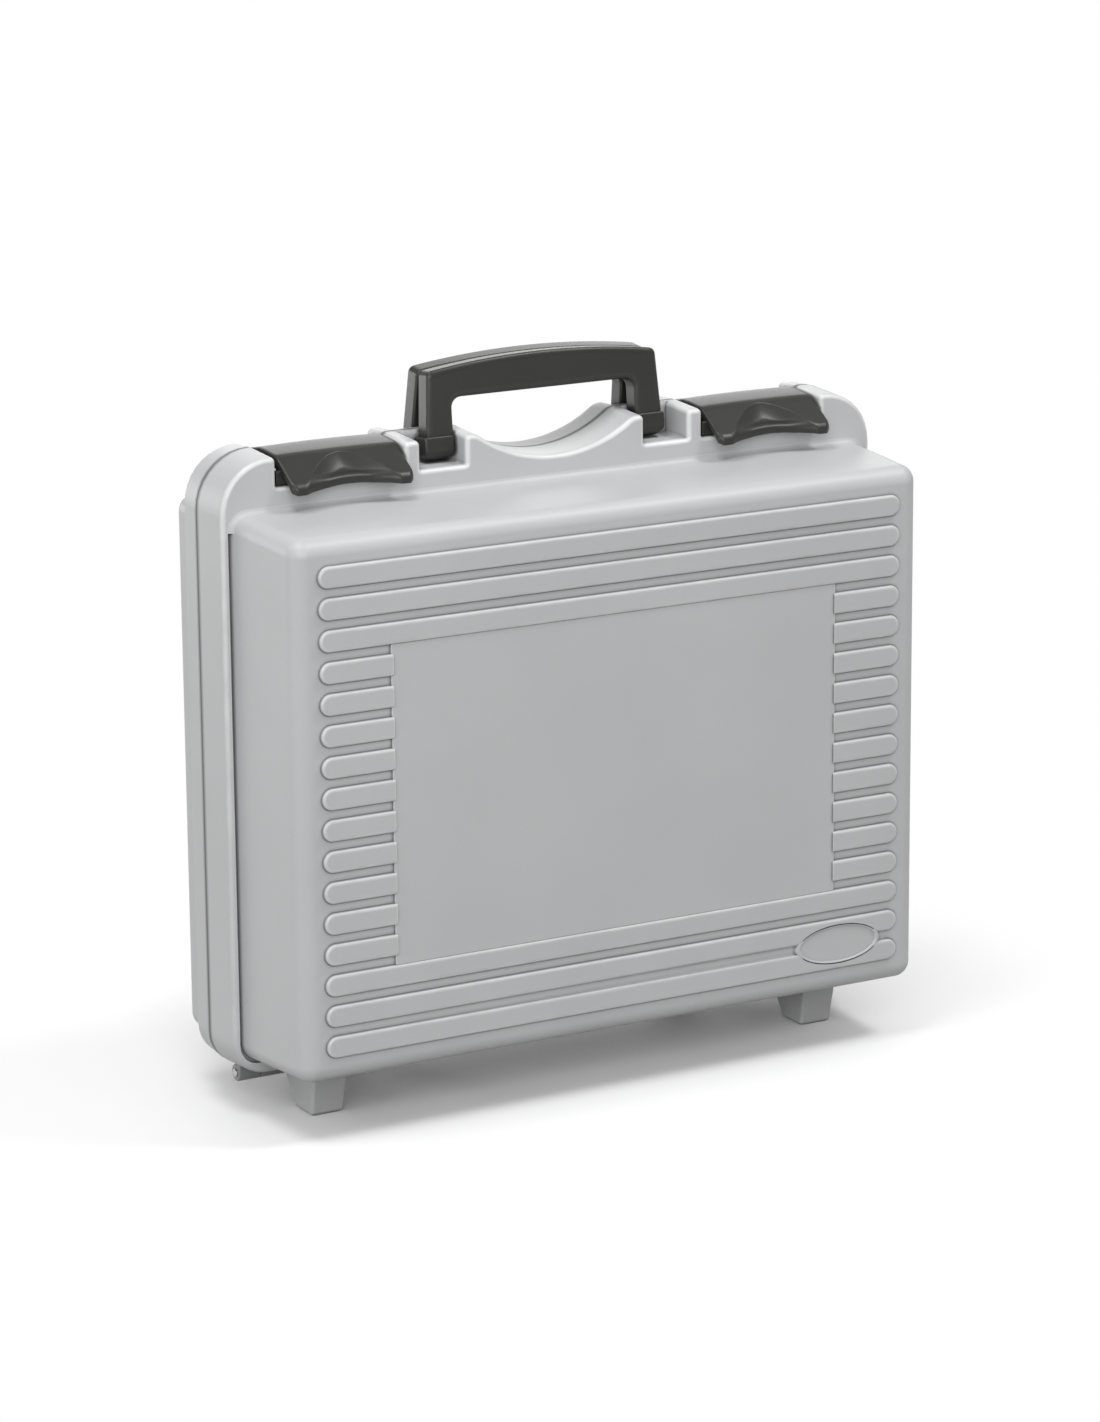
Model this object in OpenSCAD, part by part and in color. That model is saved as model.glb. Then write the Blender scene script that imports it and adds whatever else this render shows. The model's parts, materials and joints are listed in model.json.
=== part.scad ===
// Plastic carrying case that stands upright on its feet with the hinge at the bottom.
// X is the width, Y runs from the front panel to the rear panel, Z is up.
// The origin is on the floor, under the middle of the case.

/* [Box] */
// Width of both boxes at the parting plane
box_w = 342; // [320:1:380]
// Height of both boxes at the parting plane
box_h = 263; // [240:1:290]
// Depth of the front shell, from the parting plane to its panel
front_d = 80.5; // [70:0.5:100]
// Depth of the rear shell, from the parting plane to its panel
rear_d = 40; // [38:0.5:70]
// Draft angle of the moulded walls
draft = 3; // [1:0.5:4]
// Radius along the edges of the boxes
edge_r = 8; // [6:0.5:10]
// Thickness of the shell walls
wall = 2.6; // [2:0.1:3.2]
// Gap between the shells along the parting line
parting_gap = 0.3; // [0.2:0.05:0.5]
// Height of the box above the floor at the parting plane
stand_h = 25.5; // [24:0.5:32]

/* [Rim and ridge] */
// How far the rim stands out from the sides of the boxes
rim_proud = 5; // [4.5:0.25:8]
// Depth of the rim on the front shell
rim_front = 24; // [22:0.5:30]
// Depth of the rim on the rear shell
rim_rear = 20; // [18:0.5:26]
// Height of the ridge above the top of the boxes
ridge_h = 24.5; // [21:0.5:28]
// How far the rim reaches below the boxes
rim_drop = 7.5; // [6:0.5:9]
// Radius of the two upper corners of the rim
rim_top_r = 28; // [22:1:34]
// Radius of the two lower corners of the rim
rim_bottom_r = 18; // [14:1:22]
// Radius along the outer edge of the rim
rim_edge_r = 2.5; // [1.5:0.25:3.5]
// Height of the ridge above the floor of its notches and pockets
notch_depth = 15; // [13.5:0.5:16.5]
// Radius of the edges round the notches, the pockets and the scoop
mouth_r = 2; // [1:0.25:2.5]
// Radius of the fillet along the foot of the ridge
foot_fillet = 2; // [1:0.25:3]
// Width of the channel between each side of the box and the rim
channel_w = 2; // [1.5:0.1:2.5]
// Depth of that channel
channel_d = 3; // [2:0.5:5]

/* [Front panel] */
// Number of ribs from top to bottom
rib_count = 16; // [12:2:18]
// Distance from one rib to the next
rib_pitch = 14.7; // [13:0.1:15]
// Width of a rib
rib_w = 10.2; // [8:0.1:11]
// Height of a rib above the panel
rib_h = 1.8; // [1.2:0.1:2.2]
// Distance from the rib ends to the sides of the box
rib_margin = 16; // [14:0.5:30]
// Number of long ribs above the label field, and below it
long_ribs = 3; // [2:1:4]
// Length of the short ribs beside the label field
short_rib = 36; // [26:0.5:60]
// Height of the label field above the panel
label_rise = 1.1; // [0.6:0.1:1.1]
// Width of the bare oval
oval_w = 43; // [30:1:50]
// Height of the bare oval
oval_h = 17.4; // [14:0.1:20]
// Distance from the rib ends to the middle of the oval
oval_inset = 33.6; // [31:0.2:50]

/* [Feet] */
// Width of a foot at the floor
foot_w = 17; // [14:0.5:20]
// Depth of a front foot at the floor
front_foot_d = 17.5; // [14:0.5:20]
// Depth of a rear foot at the floor
rear_foot_d = 12; // [8:0.5:14]
// Distance of a front foot's back edge from the parting plane
front_foot_y = 23; // [20:0.5:26]
// Distance of a rear foot's inner edge from the parting plane
rear_foot_y = 24; // [22:0.5:26]
// Distance of the front feet from the sides of the box
front_foot_inset = 36; // [30:0.5:50]
// Distance of the rear feet from the sides of the box
rear_foot_inset = 79; // [70:0.5:100]

/* [Handle] */
// Width over the outsides of the handle at its foot
handle_w = 126.2; // [120:0.2:130]
// Clear width of the grip
grip_w = 96.8; // [90:0.2:98]
// Clear height from the pivot to the underside of the grip
grip_z = 24.5; // [22:0.1:34]
// Height of the grip bar at its middle
bar_h = 16.3; // [14:0.1:20]
// Thickness of each half of the handle
half_t = 10.8; // [9:0.1:11]
// Lean of each half towards the other
lean = 5.5; // [3:0.5:6]
// Radius of the lugs round the pivots
lug_r = 5.5; // [4.5:0.1:5.8]
// How far a lug stands out from its leg
lug_step = 2.2; // [1:0.1:3]
// How far each leg leans in from its foot to the crown
leg_taper = 2.2; // [1:0.1:4]
// Height of the crown above its ends
crown_drop = 4.6; // [3:0.1:6]
// Radius of the trunnions that the handle turns on
trunnion_r = 2.6; // [2:0.1:3]
// Distance of the handle pivots from the parting plane
pivot_y = 9; // [8.9:0.1:10]
// Width of a handle pocket
pocket_w = 24; // [20:0.5:25]

/* [Hand scoop] */
// Half the width of the scoop at the top of the ridge
scoop_half = 42; // [34:0.5:42]
// Depth of the scoop
scoop_d = 15; // [12:0.5:16]

/* [Latches] */
// Distance of a latch notch's inner wall from the middle of the case
notch_in = 80; // [78:0.5:90]
// Width of a latch notch
notch_w = 66.5; // [56:0.5:66.5]
// Side gap between a latch and its notch
latch_gap = 0.4; // [0.3:0.1:0.8]
// How far the latch plate is narrower than the latch on each side
plate_step = 2.8; // [1:0.2:4]
// Thickness of the latch plate
plate_t = 3; // [2.4:0.1:3.4]
// Length of the plate's flat part in front of the parting plane
plate_flat = 17; // [15:0.5:19]
// Reach of the plate's lip in front of the parting plane
plate_reach = 35.5; // [33:0.5:38]
// Drop of the lip below the ridge
lip_drop = 13.6; // [12:0.1:15]
// Rise of the arc in the lip's front edge
lip_rise = 5.5; // [4:0.25:7]
// Thickness of the latch's hook wall
hook_t = 2.8; // [2.4:0.1:3.2]
// Radius of the latch barrel
barrel_r = 5; // [4.5:0.1:5.4]
// Radius of the latch pin
latch_pin_r = 1.5; // [1.2:0.1:2]

/* [Hinge] */
// Distance of the hinge axis below the rim
hinge_drop = 4.6; // [4.5:0.1:6]
// Outer radius of the knuckles
knuckle_r = 4.2; // [3.8:0.1:4.2]
// Length of a knuckle
knuckle_len = 11.2; // [9:0.1:13]
// Number of knuckles in each of the two groups
knuckles = 5; // [3:2:5]
// Distance of the hinge's outer ends from the sides of the rim
hinge_inset = 13; // [12:0.5:24]
// Radius of the hinge rods
rod_r = 2; // [1.5:0.1:2.2]

/* [Fits] */
// Radial clearance of pins, rods and trunnions that turn
running_gap = 0.05; // [0.03:0.01:0.1]
// Width of the tongue along the parting plane
tongue_w = 1.6; // [1.2:0.1:2]
// Height of the tongue
tongue_h = 3; // [2:0.5:4]
// Clearance round the tongue
tongue_gap = 0.35; // [0.25:0.05:0.4]

/* [Hidden] */

LEFT = -1;
RIGHT = 1;
slope = tan(draft);
y_part = (front_d - rear_d) / 2;
box_z0 = stand_h;
box_z1 = stand_h + box_h;
z_mid = (box_z0 + box_z1) / 2;
rim_half = box_w / 2 + rim_proud;
rib_len = box_w - 2 * rib_margin;
label_w = rib_len - 2 * short_rib;
oval_x = rib_len / 2 - oval_inset;
front_foot_x = box_w / 2 - front_foot_inset;
rear_foot_x = box_w / 2 - rear_foot_inset;
hinge_out = rim_half - hinge_inset;
rim_z0 = box_z0 - rim_drop;
rim_z1 = box_z1 + ridge_h;
seat_z = rim_z1 - notch_depth;
panel_z = z_mid;
panel_bite = 0.6;
skin = 0.02;
through = 1;
round_k = 1.3;
round_c = (1 + sqrt(2 * round_k * round_k - 1)) / 2;
arc_steps = 6;
hull_fn = 32;

// Handle places, measured from the pivot at the foot of each half
pivot_x = grip_w / 2 + 0.1;
pivot_z = seat_z + lug_r + 0.75;
lug_out = handle_w / 2 + lug_step;
lug_top = lug_r + 0.5;
crown_z = grip_z + bar_h;
crown_r = (pow(handle_w / 2 - leg_taper, 2) + pow(crown_drop, 2)) / (2 * crown_drop);
trunnion_len = 4.2;
meeting_gap = 0.4;
pocket_back = wall;
pocket_in = pivot_x - 0.5;

// Latch places, measured from the parting plane and from the ridge top
latch_y = 7;
latch_z = rim_z1 - barrel_r - 2;
latch_w = notch_w - 2 * latch_gap;
latch_mid = notch_in + notch_w / 2;
plate_w = latch_w - 2 * plate_step;
pin_seat = 3.5;
hook_y = rim_front - 1;
shoulder_drop = 1.8;
plate_slope = atan2(lip_drop - shoulder_drop, plate_reach - plate_flat);
hook_foot = seat_z + 0.9;
bead_h = 0.6;

// Hinge places
hinge_z = rim_z0 - hinge_drop;
knuckle_gap = 0.3;
knuckle_pitch = knuckle_len + knuckle_gap;
hinge_len = knuckles * knuckle_pitch - knuckle_gap;

// Rectangle with rounded corners, drawn in X and Z and as thin as a skin along Y
module frame_slice(w, h, r, y) {
    translate([0, y, z_mid])
        rotate([90, 0, 0])
            linear_extrude(skin)
                offset(r = max(r, 0.2), $fn = hull_fn)
                    square([w - 2 * max(r, 0.2), h - 2 * max(r, 0.2)], center = true);
}

// Drafted block from y0 out to depth, with its outer edges rounded
module drafted_block(w, h, y0, depth, r) {
    hull() {
        frame_slice(w - 2 * y0 * slope, h - 2 * y0 * slope, r, y0 + skin);
        for (i = [0 : arc_steps]) {
            a = 90 * i / arc_steps;
            y = depth - r * (1 - sin(a));
            inset = r * (1 - cos(a));
            frame_slice(w - 2 * (y * slope + inset), h - 2 * (y * slope + inset), r - inset, y);
        }
    }
}

// One corner disc of the rim at a distance y from the parting plane
module rim_disc(side, z, r, y, inset) {
    translate([side * (rim_half - r), y, z])
        rotate([90, 0, 0])
            cylinder(r = r - inset, h = skin, $fn = 2 * hull_fn);
}

// Rim with the ridge on top, drafted and with a rounded outer edge
module rim_block(depth) {
    hull()
        for (side = [LEFT, RIGHT], i = [-1 : arc_steps / 2]) {
            a = 180 * i / arc_steps;
            y = i < 0 ? parting_gap / 2 + skin : depth - rim_edge_r * (1 - sin(a));
            inset = i < 0 ? 0 : y * slope + rim_edge_r * (1 - cos(a));
            rim_disc(side, rim_z1 - rim_top_r, rim_top_r, y, inset);
            rim_disc(side, rim_z0 + rim_bottom_r, rim_bottom_r, y, inset);
        }
}

// Half of a rib's section, from its middle line outwards
function rib_half(w) = [[0, -panel_bite], [w / 2, -panel_bite], [w / 2, 0.1], [w / 2 - 0.4, rib_h * 0.6],
    [w / 2 - 1.1, rib_h * 0.92], [w / 2 - 2, rib_h], [0, rib_h]];

// Round end of a rib, standing on the panel along +Y
module rib_end(x, z) {
    translate([x, 0, z])
        rotate([-90, 0, 0])
            rotate_extrude($fn = 48)
                polygon(rib_half(rib_w));
}

// Straight stretch of a rib from x0 to x1
module rib_bar(x0, x1, z) {
    half = rib_half(rib_w);
    upper = [for (i = [1 : len(half) - 2]) [half[i][1], half[i][0]]];
    lower = [for (i = [len(half) - 2 : -1 : 1]) [half[i][1], -half[i][0]]];
    translate([x0, 0, z])
        rotate([90, 0, 90])
            linear_extrude(x1 - x0)
                polygon(concat(upper, lower));
}

// Ellipse as a closed outline of points
function ellipse(a, b, n = 72) = [for (i = [0 : n - 1]) [a * cos(360 * i / n), b * sin(360 * i / n)]];

// Ribs and label field of a panel that faces +Y at y = 0
module panel_relief() {
    tip = rib_len / 2 - rib_w / 2;
    for (i = [0 : rib_count - 1]) {
        z = panel_z + rib_pitch * ((rib_count - 1) / 2 - i);
        long = i < long_ribs || i >= rib_count - long_ribs;
        for (side = [LEFT, RIGHT])
            rib_end(side * tip, z);
        if (long)
            rib_bar(-tip, tip, z);
        else {
            rib_bar(-tip, -label_w / 2 + 1, z);
            rib_bar(label_w / 2 - 1, tip, z);
        }
    }
    label_h = (rib_count - 2 * long_ribs) * rib_pitch;
    translate([-label_w / 2, -panel_bite, panel_z - label_h / 2])
        cube([label_w, label_rise + panel_bite, label_h]);
}

// Place of the bare oval, over the two lowest ribs
oval_z = panel_z - rib_pitch * (rib_count - 2) / 2;

// Pad that carries the oval at the height of the ribs
module oval_pad() {
    translate([oval_x, -panel_bite, oval_z])
        rotate([90, 0, 0])
            mirror([0, 0, 1])
                linear_extrude(rib_h + panel_bite)
                    polygon(ellipse(oval_w / 2 + 2.4, oval_h / 2 + 1.6));
}

// Shallow oval recess in that pad
module oval_recess() {
    translate([oval_x, rib_h - 0.8, oval_z])
        rotate([90, 0, 0])
            mirror([0, 0, 1])
                linear_extrude(2)
                    polygon(ellipse(oval_w / 2, oval_h / 2));
}

// Foot that widens from the floor up: y0 and d give its depth there, back and front how far it then leans out
module foot(x, y0, d, back, front) {
    top = stand_h + edge_r;
    intersection() {
        translate([x - foot_w, 0, 0])
            rotate([90, 0, 90])
                linear_extrude(2 * foot_w)
                    polygon([[y0, 0], [y0 + d, 0], [y0 + d + front, top], [y0 - back, top],
                        [y0 - back, rim_z0]]);
        translate([x, 0, 0])
            rotate([90, 0, 0])
                mirror([0, 0, 1])
                    linear_extrude(front_d)
                        polygon([[-foot_w / 2, 0], [foot_w / 2, 0], [foot_w / 2 + 1, top],
                            [-foot_w / 2 - 1, top]]);
    }
}

// Knuckles of one shell: first is 0 for the shell that has the outer ones, 1 for the other
module knuckle_row(first) {
    for (side = [LEFT, RIGHT], i = [first : 2 : knuckles - 1]) {
        x = side * (hinge_out - i * knuckle_pitch - knuckle_len / 2);
        translate([x - knuckle_len / 2, 0, hinge_z])
            rotate([90, 0, 90])
                linear_extrude(knuckle_len) {
                    circle(knuckle_r, $fn = 64);
                    translate([parting_gap / 2, 0])
                        square([knuckle_r + 1, hinge_drop + rim_bottom_r / 4]);
                }
    }
}

// Bore for the hinge rods
module rod_bore(r) {
    for (side = [LEFT, RIGHT])
        translate([side * (hinge_out - hinge_len / 2), 0, hinge_z])
            rotate([0, 90, 0])
                cylinder(r = r, h = hinge_len + 2 * through, center = true, $fn = 48);
}

// Band that follows the box outline, used for the tongue and for its groove
module rim_band(w, y0, y1) {
    mid = tongue_w / 2 + 0.6;
    bottom = box_z0 + edge_r + 6;
    intersection() {
        translate([0, y0, z_mid])
            rotate([90, 0, 0])
                mirror([0, 0, 1])
                    linear_extrude(y1 - y0)
                        difference() {
                            band_outline(mid + w / 2);
                            band_outline(mid - w / 2);
                        }
        translate([-rim_half, y0 - through, bottom - (w - tongue_w) / 2])
            cube([2 * rim_half, y1 - y0 + 2 * through, box_h + ridge_h]);
    }
}

// Box outline grown by a distance, from squares and circles
module band_outline(grow) {
    w = box_w + 2 * grow;
    h = box_h + 2 * grow;
    r = edge_r + grow;
    square([w - 2 * r, h], center = true);
    square([w, h - 2 * r], center = true);
    for (sx = [LEFT, RIGHT], sz = [-1, 1])
        translate([sx * (w / 2 - r), sz * (h / 2 - r)])
            circle(r, $fn = 64);
}

// What rounds the two edges of a slot w wide whose mouth is at d
module mouth_edges(w, d) {
    c = round_c * mouth_r;
    lap = 0.2;
    for (side = [LEFT, RIGHT])
        difference() {
            translate([side * (w + c - lap) / 2 - (c + lap) / 2, d - c])
                square([c + lap, c + through]);
            translate([side * (w / 2 + c), d - c])
                circle(round_k * mouth_r, $fn = 48);
        }
}

// Opening in the ridge at x, from y0 to the rim's face, with rounded edges in front and on top
module ridge_opening(x, w, y0, depth) {
    translate([x - w / 2, y0, seat_z])
        cube([w, depth + through - y0, notch_depth + through]);
    translate([x, y0, seat_z])
        linear_extrude(notch_depth + through)
            mouth_edges(w, depth - y0);
    intersection() {
        translate([x, 0, rim_z1])
            rotate([90 - draft, 0, 0])
                translate([0, 0, -depth - through])
                    linear_extrude(depth + 3 * through)
                        mouth_edges(w, 0);
        translate([x - w, y0, seat_z])
            cube([2 * w, depth + 2 * through - y0, 2 * notch_depth]);
    }
}

// Everything that is cut out of a shell's ridge: y grows away from the parting plane
module ridge_cuts(depth) {
    for (side = [LEFT, RIGHT]) {
        // Latch notch, right through the ridge
        ridge_opening(side * latch_mid, notch_w, -through, depth);
        // Handle pocket, open towards the panel
        ridge_opening(side * (pocket_in + pocket_w / 2), pocket_w, pocket_back, depth);
        // Bore for the handle trunnion
        translate([side * (pocket_in + through), pivot_y, pivot_z])
            rotate([0, -side * 90, 0])
                cylinder(r = trunnion_r + running_gap, h = trunnion_len + 1.4, $fn = 48);
        // Channel beside the box
        translate([side * (box_w / 2 - depth * slope + channel_w / 2) - channel_w / 2, depth - channel_d,
            box_z0 + edge_r])
            cube([channel_w, channel_d + through, box_h - 2 * edge_r]);
    }
    // Hand scoop
    scoop_r = (pow(scoop_half, 2) + pow(scoop_d, 2)) / (2 * scoop_d);
    c = round_c * mouth_r;
    r = round_k * mouth_r;
    first = acos(round_c / round_k);
    edge = [for (i = [0 : arc_steps]) let (a = first + (90 - first) * i / arc_steps)
        [scoop_r + c - r * cos(a), depth - c + r * sin(a)]];
    translate([0, 0, rim_z1 - scoop_d + scoop_r])
        rotate([-90, 0, 0])
            rotate_extrude($fn = 180)
                polygon(concat([[0, -through], [scoop_r, -through]], edge,
                    [[scoop_r + c, depth + through], [0, depth + through]]));
}

// Fillet where the ridge rises from the top of the box
module ridge_foot(depth) {
    half = box_w / 2 - depth * slope - edge_r;
    c = round_c * foot_fillet;
    translate([-half, depth, box_z1 - (depth + foot_fillet) * slope])
        rotate([90, 0, 90])
            linear_extrude(2 * half)
                difference() {
                    translate([-through, -through])
                        square(c + through);
                    translate([c, c])
                        circle(round_k * foot_fillet, $fn = 48);
                }
}

// One moulded shell, with its parting face at y = 0 and its panel at y = depth
module shell(depth, rim_depth) {
    difference() {
        union() {
            drafted_block(box_w, box_h, parting_gap / 2, depth, edge_r);
            rim_block(rim_depth);
            ridge_foot(rim_depth);
            translate([0, depth, 0])
                panel_relief();
            children();
        }
        drafted_block(box_w - 2 * wall, box_h - 2 * wall, -through, depth - wall, edge_r - wall);
        ridge_cuts(rim_depth);
    }
}

module front_shell() {
    color("silver")
        translate([0, y_part, 0])
            mirror([0, 1, 0])
                difference() {
                    shell(front_d, rim_front) {
                        for (side = [LEFT, RIGHT])
                            foot(side * front_foot_x, front_foot_y, front_foot_d, 12, 6.5);
                        knuckle_row(0);
                        translate([0, front_d, 0])
                            oval_pad();
                    }
                    translate([0, front_d, 0])
                        oval_recess();
                    rod_bore(rod_r);
                    rim_band(tongue_w + 2 * tongue_gap, -through, tongue_h + parting_gap);
                }
    color("silver")
        catch_beads();
}

// Low bead on each notch floor of the front shell, which the latch hook passes over
module catch_beads() {
    for (side = [LEFT, RIGHT])
        translate([side * latch_mid - notch_w / 2, y_part - rim_front + 8, seat_z - 0.4])
            cube([notch_w, 3, 0.4 + bead_h]);
}

module rear_shell() {
    color("silver")
        translate([0, y_part, 0])
            difference() {
                union() {
                    shell(rear_d, rim_rear) {
                        for (side = [LEFT, RIGHT])
                            foot(side * rear_foot_x, rear_foot_y, rear_foot_d, 2, 2);
                        knuckle_row(1);
                    }
                    rim_band(tongue_w, parting_gap / 2 - tongue_h, parting_gap);
                }
                rod_bore(rod_r + running_gap);
                for (side = [LEFT, RIGHT])
                    latch_pin_hole(side, latch_pin_r);
            }
}

// Hole for a latch pin through the notch and into both of its walls
module latch_pin_hole(side, r) {
    translate([side * latch_mid, latch_y, latch_z])
        rotate([0, 90, 0])
            cylinder(r = r, h = notch_w + 2 * pin_seat, center = true, $fn = 48);
}

// Front view of a handle half above its lugs, with z = 0 at the pivot
module bail_outline(inset) {
    foot_half = handle_w / 2 - inset;
    top_half = foot_half - leg_taper;
    offset(r = 2.5, $fn = 24)
        offset(delta = -2.5)
            offset(r = -4, $fn = 24)
                offset(delta = 4)
                    difference() {
                        intersection() {
                            polygon([[-foot_half, 0], [foot_half, 0], [top_half, crown_z],
                                [-top_half, crown_z]]);
                            translate([0, crown_z - crown_r])
                                circle(crown_r - inset, $fn = 240);
                        }
                        translate([-grip_w / 2 - inset, -through])
                            square([grip_w + 2 * inset, grip_z + through - inset]);
                    }
}

// One half of the handle, upright, with its pivot on the X axis and its outer face towards +Y
module handle_half() {
    bevel = 1.2;
    inner = half_t - lug_r;
    difference() {
        union() {
            for (layer = [[0, bevel], [bevel, 0], [half_t - bevel, bevel]])
                translate([0, -inner + layer[0], 0])
                    rotate([90, 0, 0])
                        mirror([0, 0, 1])
                            linear_extrude(layer[1] == 0 ? half_t - 2 * bevel : bevel)
                                bail_outline(layer[1]);
        }
        // Space below the legs, where the lugs take over
        translate([-handle_w, -handle_w, -handle_w])
            cube([2 * handle_w, 2 * handle_w, handle_w]);
    }
    for (side = [LEFT, RIGHT]) {
        lug(side);
        // Trunnion that points to the middle of the case
        translate([side * (pivot_x + through), 0, 0])
            rotate([0, -side * 90, 0])
                cylinder(r = trunnion_r, h = trunnion_len + through, $fn = 48);
    }
}

// Rounded lug at the foot of a handle leg
module lug(side) {
    w = lug_out - pivot_x;
    corner = 3.5;
    intersection() {
        translate([side * (pivot_x + w / 2), 0, 0])
            rotate([90, 0, 0])
                linear_extrude(4 * lug_r, center = true) {
                    translate([-w / 2, -lug_r + corner])
                        square([w, lug_r + lug_top - corner]);
                    translate([-w / 2 + corner, -lug_r])
                        square([w - 2 * corner, 2 * lug_r]);
                    for (sx = [-1, 1])
                        translate([sx * (w / 2 - corner), -lug_r + corner])
                            circle(corner, $fn = 32);
                }
        translate([side * (pivot_x + w / 2), 0, 0])
            rotate([90, 0, 90])
                linear_extrude(2 * w, center = true) {
                    circle(lug_r, $fn = 64);
                    translate([-lug_r, 0])
                        square([2 * lug_r, lug_top]);
                }
    }
}

// Handle half in its place, leaning on the parting plane where the other half meets it
module leaning_half() {
    difference() {
        translate([0, pivot_y, pivot_z])
            rotate([lean, 0, 0])
                handle_half();
        translate([-handle_w, -handle_w + meeting_gap / 2, rim_z1])
            cube([2 * handle_w, handle_w, 2 * crown_z]);
    }
}

module front_handle() {
    color([0.13, 0.13, 0.13])
        translate([0, y_part, 0])
            mirror([0, 1, 0])
                leaning_half();
}

module rear_handle() {
    color([0.13, 0.13, 0.13])
        translate([0, y_part, 0])
            leaning_half();
}

// Side view of the latch plate: crest at the parting plane, then down over the ridge to the lip
module plate_section() {
    t = plate_t;
    top = [-plate_reach, -lip_drop];
    under = top + t * [sin(plate_slope), -cos(plate_slope)];
    polygon([[0, -0.3], [1 - plate_flat, 0.3 - shoulder_drop], [-1 - plate_flat, -0.3 - shoulder_drop],
        top, top - [0.8, 1.7], under - [1.4, 0.8], under,
        [t * tan(plate_slope / 2) - plate_flat, -shoulder_drop - t], [0, -0.5 - t],
        [latch_y, -2 - t], [latch_y + 1, -2.1], [latch_y, -2]]);
}

// One latch: plate, barrel round its pin and the hook wall behind the lip
module latch(side) {
    translate([side * latch_mid, 0, 0])
        difference() {
            union() {
                translate([-plate_w / 2, 0, rim_z1])
                    rotate([90, 0, 90])
                        linear_extrude(plate_w)
                            plate_section();
                translate([-latch_w / 2, latch_y, latch_z])
                    rotate([0, 90, 0])
                        cylinder(r = barrel_r, h = latch_w, $fn = 64);
                // Web from the barrel to the hook wall, under the plate
                translate([-latch_w / 2, -hook_y, latch_z - 1])
                    cube([latch_w, hook_y + latch_y, plate_t - 0.4]);
                translate([-plate_w / 2, hook_t - hook_y, latch_z])
                    cube([plate_w, hook_y + latch_y - hook_t, rim_z1 - shoulder_drop - 1 - latch_z]);
                // Hook wall
                translate([-latch_w / 2, -hook_y, hook_foot])
                    cube([latch_w, hook_t, latch_z + 1 - hook_foot]);
            }
            translate([0, latch_y, latch_z])
                rotate([0, 90, 0])
                    cylinder(r = latch_pin_r + running_gap, h = latch_w + 2, center = true, $fn = 48);
            lip_arc();
            thumb_scoop();
        }
}

// Arc that is cut out of the lip's front edge, square to the sloping part of the plate
module lip_arc() {
    chord = plate_w - 14;
    r = (pow(chord / 2, 2) + pow(lip_rise, 2)) / (2 * lip_rise);
    translate([0, -plate_reach - 0.8, rim_z1 - lip_drop - 1.7])
        rotate([plate_slope, 0, 0])
            translate([0, lip_rise - r, 0])
                cylinder(r = r, h = 4 * plate_t, center = true, $fn = 120);
}

// Shallow hollow for the thumb in the sloping part of the plate
module thumb_scoop() {
    reach = 20;
    deep = 1.2;
    r = (pow(reach, 2) + pow(deep, 2)) / (2 * deep);
    translate([0, 1.5 - plate_reach, rim_z1 - lip_drop + 1])
        rotate([plate_slope, 0, 0])
            translate([0, 0, r - deep])
                sphere(r = r, $fn = 180);
}

module latch_left() {
    color([0.2, 0.2, 0.2])
        translate([0, y_part, 0])
            latch(LEFT);
}

module latch_right() {
    color([0.2, 0.2, 0.2])
        translate([0, y_part, 0])
            latch(RIGHT);
}

// Steel pin in the walls of a latch notch
module latch_pin(side) {
    color("lightsteelblue")
        translate([0, y_part, 0])
            latch_pin_hole(side, latch_pin_r);
}

// Steel rod of one hinge, with its outer end standing out of the last knuckle
module hinge_rod(side) {
    end = 0.8;
    color("lightsteelblue")
        translate([side * (hinge_out + end), y_part, hinge_z])
            rotate([0, -side * 90, 0])
                cylinder(r = rod_r, h = hinge_len + 2 * end, $fn = 48);
}

module latch_pin_left() latch_pin(LEFT);
module latch_pin_right() latch_pin(RIGHT);
module hinge_rod_left() hinge_rod(LEFT);
module hinge_rod_right() hinge_rod(RIGHT);

front_shell();
rear_shell();
front_handle();
rear_handle();
latch_left();
latch_right();
latch_pin_left();
latch_pin_right();
hinge_rod_left();
hinge_rod_right();
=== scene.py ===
"""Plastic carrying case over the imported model: moulded shells with ribs and rim, latches, handle and hinge.

Sizes are in millimetres until a piece becomes a mesh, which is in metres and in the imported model's own frame.
"""
from __future__ import annotations

import json
import logging
import math
from collections.abc import Callable, Sequence
from dataclasses import dataclass
from enum import Enum
from itertools import pairwise
from typing import ClassVar, NamedTuple

import bmesh
import bpy
from mathutils import Matrix, Vector

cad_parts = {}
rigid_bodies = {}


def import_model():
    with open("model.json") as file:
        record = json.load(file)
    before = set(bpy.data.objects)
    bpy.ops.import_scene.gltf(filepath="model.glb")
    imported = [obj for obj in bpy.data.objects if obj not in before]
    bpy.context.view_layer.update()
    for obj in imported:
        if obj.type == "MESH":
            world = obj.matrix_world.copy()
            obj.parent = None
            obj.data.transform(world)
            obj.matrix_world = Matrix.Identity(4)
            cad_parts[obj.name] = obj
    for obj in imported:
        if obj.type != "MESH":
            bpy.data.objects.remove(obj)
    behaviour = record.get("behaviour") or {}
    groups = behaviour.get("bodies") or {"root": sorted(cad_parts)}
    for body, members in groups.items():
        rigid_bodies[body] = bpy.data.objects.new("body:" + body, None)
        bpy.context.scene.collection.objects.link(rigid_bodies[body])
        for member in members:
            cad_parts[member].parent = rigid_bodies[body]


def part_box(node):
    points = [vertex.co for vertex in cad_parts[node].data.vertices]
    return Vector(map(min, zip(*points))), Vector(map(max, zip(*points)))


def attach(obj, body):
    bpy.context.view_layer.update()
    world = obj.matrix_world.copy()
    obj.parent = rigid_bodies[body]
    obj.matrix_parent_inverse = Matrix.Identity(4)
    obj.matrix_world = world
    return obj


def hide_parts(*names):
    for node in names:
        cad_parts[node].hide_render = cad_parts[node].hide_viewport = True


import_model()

LOG = logging.getLogger("carrying_case")
Corner = tuple[float, float, float]
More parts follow.
